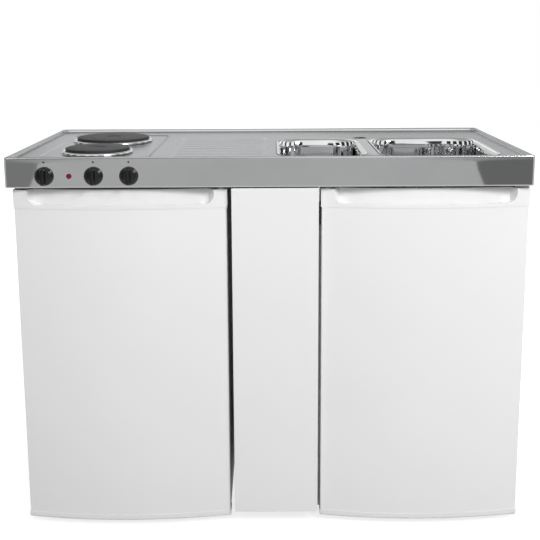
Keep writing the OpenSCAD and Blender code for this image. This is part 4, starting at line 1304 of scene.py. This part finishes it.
@dataclass
class Door:
    """A bowed door: a painted sheet between two moulded trims."""

    name: str
    x0: float
    w: float
    y1: float
    hinged_left: bool
    y: float = -272.0
    bow: float = 22.0
    skin_z: Point2 = (30.0, 780.5)
    skin_back: float = 0.8
    step: float = 1.5
    edge_r: float = 3.0
    edge_steps: int = 6
    steps: int = 64
    crease: float = 40.0
    top_z: float = 823.5
    plug_in: float = 14.0
    plug_back: float = 9.0

    def front(self, x: float) -> float:
        """Place along Y of the bowed front at a place along X."""
        u = (2 * (x - self.x0) - self.w) / self.w
        return self.y - self.bow * (1 - u * u)

    def plan(self) -> list[Point2]:
        """Plan of the sheet from its left rear edge round the front to its right rear edge.

        Returns:
            The open outline.
        """
        a, b = self.x0 + self.step, self.x0 + self.w - self.step
        r, back = self.edge_r, self.skin_back
        left = [(a, self.y1), (a, (self.y1 + self.front(a)) / 2)]
        for i in range(self.edge_steps + 1):
            t = math.pi / 2 * i / self.edge_steps
            left.append((a + r - r * math.cos(t), self.front(a + r) + back + r - r * math.sin(t)))
        middle = [a + r + (b - a - 2 * r) * i / self.steps for i in range(1, self.steps)]
        right = [(self.x0 + self.x0 + self.w - x, y) for x, y in reversed(left)]
        return left + [(x, self.front(x) + back) for x in middle] + right

    def skin(self) -> bpy.types.Object:
        """Makes the painted sheet.

        Returns:
            The new object.
        """
        plan = self.plan()
        z0, z1 = self.skin_z
        near, far = 0.6, 40
        levels = [z0, z0 + near, z0 + far, (z0 + z1) / 2, z1 - far, z1 - near, z1]
        points = [(x, y, z) for z in levels for x, y in plan]
        n = len(plan)
        faces = [
            [i * n + j, i * n + j + 1, (i + 1) * n + j + 1, (i + 1) * n + j]
            for i in range(len(levels) - 1)
            for j in range(n - 1)
        ]
        return thicken(mesh_piece(self.name + "_skin", points, faces, self.crease))

    def plug(self) -> bpy.types.Object:
        """Makes the domed plug in the spare hinge hole at the free end of the door's top.

        Returns:
            The new object.
        """
        x = self.x0 + (self.w - self.plug_in if self.hinged_left else self.plug_in)
        profile = [
            (0, 4.0), (5.0, 3.8), (7.2, 3.0), (8.4, 1.6), (8.6, 0.0), (2.4, 0.0), (2.4, -6.0), (0, -6.0),
        ]
        return turned(self.name + "_plug", profile, (x, self.y + self.plug_back, self.top_z), steps=40)


# ------------------------------------------------------------------------ studio


def grey(value: float) -> Colour:
    """A colour without hue."""
    return (value, value, value)


@dataclass(frozen=True)
class Lamp:
    """One soft lamp, in metres and watts."""

    name: str
    place: Point3
    aim: Point3
    size: Point2
    watts: float
    mirrored: bool

    def hang(self) -> None:
        """Adds the lamp to the scene; polished faces show it only if it is mirrored."""
        data = bpy.data.lights.new(self.name, "AREA")
        data.shape = "RECTANGLE"
        data.size, data.size_y = self.size
        data.energy = self.watts
        made = bpy.data.objects.new(self.name, data)
        made.location = self.place
        way = Vector(self.aim) - Vector(self.place)
        made.rotation_euler = way.to_track_quat("-Z", "Y").to_euler()
        made.visible_glossy = self.mirrored
        bpy.context.scene.collection.objects.link(made)


@dataclass(frozen=True)
class Card:
    """A grey card that only polished faces see, with its ends along X at its foot and at its head."""

    name: str
    foot: Point2
    head: Point2
    tone: float
    y: float = -3400.0
    z: Point2 = (-400.0, 1500.0)

    def stand(self) -> None:
        """Adds the card to the scene."""
        g = Graph(self.name)
        g.close(g.node("ShaderNodeEmission", None, {"Color": grey(self.tone), "Strength": 1.0}))
        corners = [(x, self.y, self.z[0]) for x in self.foot]
        corners += [(x, self.y, self.z[1]) for x in reversed(self.head)]
        made = mesh_piece(self.name, corners, [[0, 1, 2, 3]])
        made.data.materials.append(g.owner)
        made.visible_camera = False
        made.visible_diffuse = False
        made.visible_shadow = False
        made.visible_transmission = False


@dataclass(frozen=True)
class Surroundings:
    """White surroundings, which polished metal sees as bright windows between dark walls.

    The pairs are spans of the direction's height, or of its part to the back, over which a change
    runs. Each window is given by its share, its number round the horizon and its turn.
    """

    soft_glow: float = 0.5
    mirror_glow: float = 0.82
    overhead: Point2 = (0.15, 0.9)
    overhead_loss: float = 0.3
    front: Point2 = (-0.6, -0.1)
    front_gain: float = 0.45
    windows: tuple[Point3, ...] = ((1.0, 12.0, 2.41), (0.6, 23.0, 1.1))
    window_edge: Point2 = (-0.1, 0.2)
    window_glow: float = 1.25
    wall_glow: float = 0.04
    wall_foot: Point2 = (0.2, 0.27)
    wall_top: Point2 = (0.5, 0.62)
    low_wall_foot: Point2 = (0.0, 0.04)
    open_back: Point2 = (0.9, 0.955)

    def mirrored(self, g: Graph) -> Signal:
        """Gives the brightness that polished metal sees in each direction.

        Args:
            g: The tree that the nodes go into.

        Returns:
            The brightness.
        """
        way = g.node("ShaderNodeTexCoord", output="Generated")
        x, y, z = (g.part(way, axis) for axis in "XYZ")
        turn = x.maths("ARCTAN2", x, y)
        wave: Socket = 0.0
        for share, count, start in self.windows:
            wave = (turn * count + start).sine() * share + wave
        window = wave.clipped(*self.window_edge) * self.window_glow + self.wall_glow
        beside = (1.0 - y.clipped(*self.open_back)) * z.clipped(*self.low_wall_foot)
        belt = z.clipped(*self.wall_foot).at_least(beside) * (1.0 - z.clipped(*self.wall_top))
        ahead = 1.0 - y.clipped(*self.front)
        loss = z.clipped(*self.overhead) * self.overhead_loss * (1.0 - ahead)
        open_sky = self.mirror_glow - loss + ahead * self.front_gain
        return open_sky * (1.0 - belt) + window * belt

    def build(self) -> None:
        """Sets the scene's world."""
        g = Graph("studio", surroundings=True)
        plain = g.ray("Camera").at_least(g.ray("Transmission")) * (1.0 - self.soft_glow)
        glossy = g.ray("Glossy") * (self.mirrored(g) - self.soft_glow)
        inputs = {"Color": grey(1.0), "Strength": plain + glossy + self.soft_glow}
        bpy.context.scene.world = g.close(g.node("ShaderNodeBackground", None, inputs))


@dataclass(frozen=True)
class Floor:
    """The pale floor, which keeps the unit's shadow."""

    plain: float = 0.26
    tone: float = 0.35
    glow: float = 0.78
    glossy_loss: float = 0.5
    fade: Point2 = (1.1, 3.2)
    z: float = -0.2
    rings: Point3 = (1500.0, 4000.0, 9000.0)
    steps: int = 64

    def build(self) -> None:
        """Lays the floor."""
        g = Graph("studio_floor")
        glow = g.distance().clipped(*self.fade) * (1.0 - self.glow) + self.glow
        glow = glow * (1.0 - g.ray("Glossy") * self.glossy_loss)
        plain, tone = (
            g.node("ShaderNodeBsdfDiffuse", None, {"Color": grey(c)}) for c in (self.plain, self.tone)
        )
        light = g.node("ShaderNodeEmission", None, {"Color": grey(1.0), "Strength": glow})
        pale = g.node("ShaderNodeAddShader", None, {0: tone, 1: light})
        seen = g.ray("Camera").at_least(g.ray("Glossy")).at_least(g.ray("Transmission"))
        g.close(g.node("ShaderNodeMixShader", None, {0: seen, 1: plain, 2: pale}))
        points = [(0.0, 0.0, self.z)]
        for r in self.rings:
            points += [(x, y, self.z) for x, y in circle((0.0, 0.0), r, self.steps)]
        faces = [[0, 1 + i, 1 + (i + 1) % self.steps] for i in range(self.steps)]
        faces += [[1 + i for i in face] for face in ring_faces(self.steps, len(self.rings))]
        ground = mesh_piece("studio_floor", points, faces)
        ground.data.materials.append(g.owner)


@dataclass
class Studio:
    """Camera, floor, surroundings, lamps and cards."""

    eye: Point3 = (0.001, -2.288, 1.175)
    tilt: float = 9.97
    roll: float = 0.27
    focal_px: float = 896.0
    shift_px: float = -80.0
    picture: int = 540
    sensor: float = 36.0
    lamps: tuple[Lamp, ...] = (
        Lamp("key", (2.0, -2.6, 2.7), (0.1, 0.0, 0.5), (0.9, 0.9), 81.0, True),
        Lamp("fill", (-1.2, -3.0, 2.8), (0.0, 0.0, 0.7), (1.6, 1.6), 38.0, False),
        Lamp("top", (0.2, 0.9, 3.0), (0.0, 0.0, 0.8), (2.4, 1.4), 34.0, False),
    )
    cards: tuple[Card, ...] = (
        Card("card_middle", (-1527.0, 1362.0), (-1095.0, 976.0), 0.63),
        Card("card_left", (-3200.0, -1527.0), (-3200.0, -1095.0), 0.29),
        Card("card_right", (1362.0, 3200.0), (976.0, 3200.0), 0.21),
    )

    def camera(self) -> None:
        """Sets up the camera in front of the unit."""
        data = bpy.data.cameras.new("camera")
        data.sensor_width = self.sensor
        data.lens = self.focal_px * self.sensor / self.picture
        data.shift_y = self.shift_px / self.picture
        data.clip_end = 100.0
        eye = bpy.data.objects.new("camera", data)
        eye.location = self.eye
        aim = Matrix.Rotation(math.radians(90.0 - self.tilt), 4, "X")
        eye.rotation_euler = (aim @ Matrix.Rotation(math.radians(-self.roll), 4, "Z")).to_euler()
        bpy.context.scene.collection.objects.link(eye)
        bpy.context.scene.camera = eye

    def build(self) -> None:
        """Sets up everything round the unit."""
        Floor().build()
        Surroundings().build()
        for lamp in self.lamps:
            lamp.hang()
        for card in self.cards:
            card.stand()
        bpy.context.scene.view_settings.view_transform = "Standard"


# ------------------------------------------------------------------------- main


def steel_top() -> None:
    """Builds the worktop with its bowls and hotplates."""
    bowls = [
        Bowl("half_bowl_shell", "half_bowl", 125.0, 214.0, 366.0, 125.0, (8, 20)),
        Bowl("main_bowl_shell", "main_bowl", 402.0, 286.0, 380.0, 145.0, (14, 20)),
    ]
    plates = [
        Hotplate("front_plate", "front_hotplate", -413.0, -148.0, 152.0),
        Hotplate("rear_plate", "rear_hotplate", -413.0, 74.0, 187.0),
    ]
    top = Worktop(bowls, [((p.x, p.y), p.d / 2) for p in plates])
    settle(top.build(), "unit", "brushed_sheet", PressedSteel("pressed_sheet").build(), "worktop")
    polished = PolishedSteel("polished_bowl").build()
    for bowl in bowls:
        settle(bowl.build(), "unit", "polished_bowl", polished, bowl.node)
    bright = PolishedSteel("bright_ring", (0.66, 0.67, 0.68), 0.2, 0.0003, lip_z=(2.0, 3.0)).build()
    for plate in plates:
        iron = TurnedIron(plate.name + "_iron", (plate.x * MM, plate.y * MM, 0.0)).build()
        settle(plate.build(), "unit", "cast_plate", iron, plate.node)
        settle(plate.ring(), "unit", "bright_ring", bright, "spill_rings")
    dress(bright, "bowl_wastes", "half_bowl_strainer", "main_bowl_strainer")


def controls() -> None:
    """Builds the knobs and dresses the small pieces of the fascia."""
    black = Moulded("knob_black", (0.003, 0.003, 0.0034), 0.13, 700.0, 0.000002, 0.1, 0.45).build()
    for knob in (
        Knob("timer_grip_knob", "timer_knob", "timer_control", -509.5),
        Knob("front_plate_grip_knob", "front_plate_knob", "front_plate_control", -398.0),
        Knob("rear_plate_grip_knob", "rear_plate_knob", "rear_plate_control", -318.0),
    ):
        settle(knob.build(), knob.body, "control_black", black, knob.node)
    dress(black, "index_dots")
    dress(Moulded("lamp_red", (0.17, 0.004, 0.008), 0.15, 400.0, shine=0.35).build(), "pilot_lamp")


def doors() -> None:
    """Builds both doors and the blind panel."""
    paint = SatinPaint("door_white").build()
    trim = Moulded("trim_white", (0.83, 0.83, 0.835), 0.28, 1200.0, 0.000004, 0.01).build()
    for door in (
        Door("fridge_door", -587.0, 490.0, -236.0, hinged_left=True),
        Door("sink_door", 118.0, 478.0, -249.0, hinged_left=False),
    ):
        settle(door.skin(), door.name, "door_white", paint, door.name + "_skin")
        settle(door.plug(), door.name, "trim_white", trim)
        for end, width in (("top", 1.4), ("bottom", 3.2)):
            node = f"{door.name}_{end}_trim"
            settle(eased(node + "_eased", node, width, 4), door.name, "trim_white", trim, node)
    for node, body, width in (("blind_panel", "unit", 0.8), ("sink_door_inner_panel", "sink_door", 0.4)):
        settle(eased(node + "_eased", node, width), body, "door_white", paint, node)


@dataclass(frozen=True)
class Casting:
    """A slot, its finish, and the solids that wear it with the width of their rounded edges.

    A solid with a width of 0 stays as it is.
    """

    slot: str
    finish: bpy.types.Material
    pieces: dict[str, float]

    def apply(self, body_of: dict[str, str]) -> None:
        """Rounds and dresses the solids.

        Args:
            body_of: The body of each node.
        """
        for node, width in self.pieces.items():
            if width:
                settle(eased(node + "_eased", node, width), body_of[node], self.slot, self.finish, node)
            else:
                dress(self.finish, node)


def insides() -> None:
    """Dresses what lies behind the doors, at the back and under the worktop."""
    bodies = frame["record"]["behaviour"]["bodies"]
    body_of = {node: body for body, nodes in bodies.items() for node in nodes}
    for slot, finish, pieces in (
        ("body_white", SatinPaint("body_white", (0.78, 0.78, 0.775)), {"fridge_cabinet": 0.6}),
        (
            "board_white",
            Moulded("board_white", (0.78, 0.78, 0.765), 0.42, 500.0, 0.00002, 0.02),
            {"cabinet_sides": 0.6, "cabinet_floor": 0.6, "cabinet_back": 0.5, "cabinet_front_frame": 0.6},
        ),
        (
            "liner_white",
            Moulded("liner_white", (0.80, 0.80, 0.785), 0.25, 300.0, 0.00002, 0.02),
            {
                "fridge_liner": 1.0, "fridge_door_liner": 1.6, "ice_box_flap": 0.8,
                "thermostat_housing": 1.5, "thermostat_dial": 0.5,
            },
        ),
        ("foam_yellow", RigidFoam("foam_yellow"), {"fridge_insulation": 0.0, "fridge_door_foam": 0.0}),
        (
            "seal_grey",
            Moulded("seal_grey", (0.58, 0.58, 0.57), 0.6, 1500.0, 0.00003),
            {"fridge_door_gasket": 1.4, "sink_door_bumpers": 0.4},
        ),
        (
            "clear_plastic",
            ClearPlastic("clear_plastic"),
            {"fridge_shelves": 0.8, "crisper_drawer": 0.8, "fridge_door_bins": 0.8},
        ),
        (
            "evaporator",
            BrushedSteel("rolled_aluminium", (0.68, 0.69, 0.70), 0.4, Grain.ALONG_Y),
            {"ice_box": 0.4},
        ),
        (
            "lamp_glass",
            ClearPlastic("lamp_glass", (0.97, 0.93, 0.82), 0.1, alpha=0.6),
            {"fridge_lamp": 0.0},
        ),
        (
            "black_enamel",
            Moulded("black_enamel", (0.022, 0.022, 0.024), 0.32, 350.0, 0.00003),
            {"compressor": 0.0, "condenser": 0.0},
        ),
        (
            "pipe_white",
            Moulded("pipe_white", (0.75, 0.75, 0.73), 0.38),
            {"waste_pipe": 0.0, "bottle_trap": 0.0, "trap_cup": 0.5, "outlet_pipe": 0.3},
        ),
        (
            "zinc_steel",
            Zinc("zinc_steel"),
            {
                "hotplate_clamps": 0.3, "hob_tray": 0.4, "door_hinges": 0.5, "timer_shaft": 0.3,
                "front_plate_shaft": 0.3, "rear_plate_shaft": 0.3, "fridge_back_panel": 0.3,
            },
        ),
        ("switch_cream", Moulded("switch_cream", (0.68, 0.64, 0.52), 0.45), {"switch_bodies": 0.8}),
        (
            "box_black",
            Moulded("box_black", (0.02, 0.02, 0.022), 0.45),
            {"terminal_box": 0.8, "levelling_feet": 0.0, "door_catch": 0.8},
        ),
        ("batten_wood", Softwood("batten_wood"), {"worktop_frame": 0.8}),
    ):
        Casting(slot, finish.build(), pieces).apply(body_of)


def main() -> None:
    """Builds the studio and the unit in order."""
    logging.basicConfig(level=logging.INFO, format="%(message)s")
    studio = Studio()
    studio.camera()
    steel_top()
    controls()
    doors()
    insides()
    studio.build()


if __name__ == "__main__":
    main()
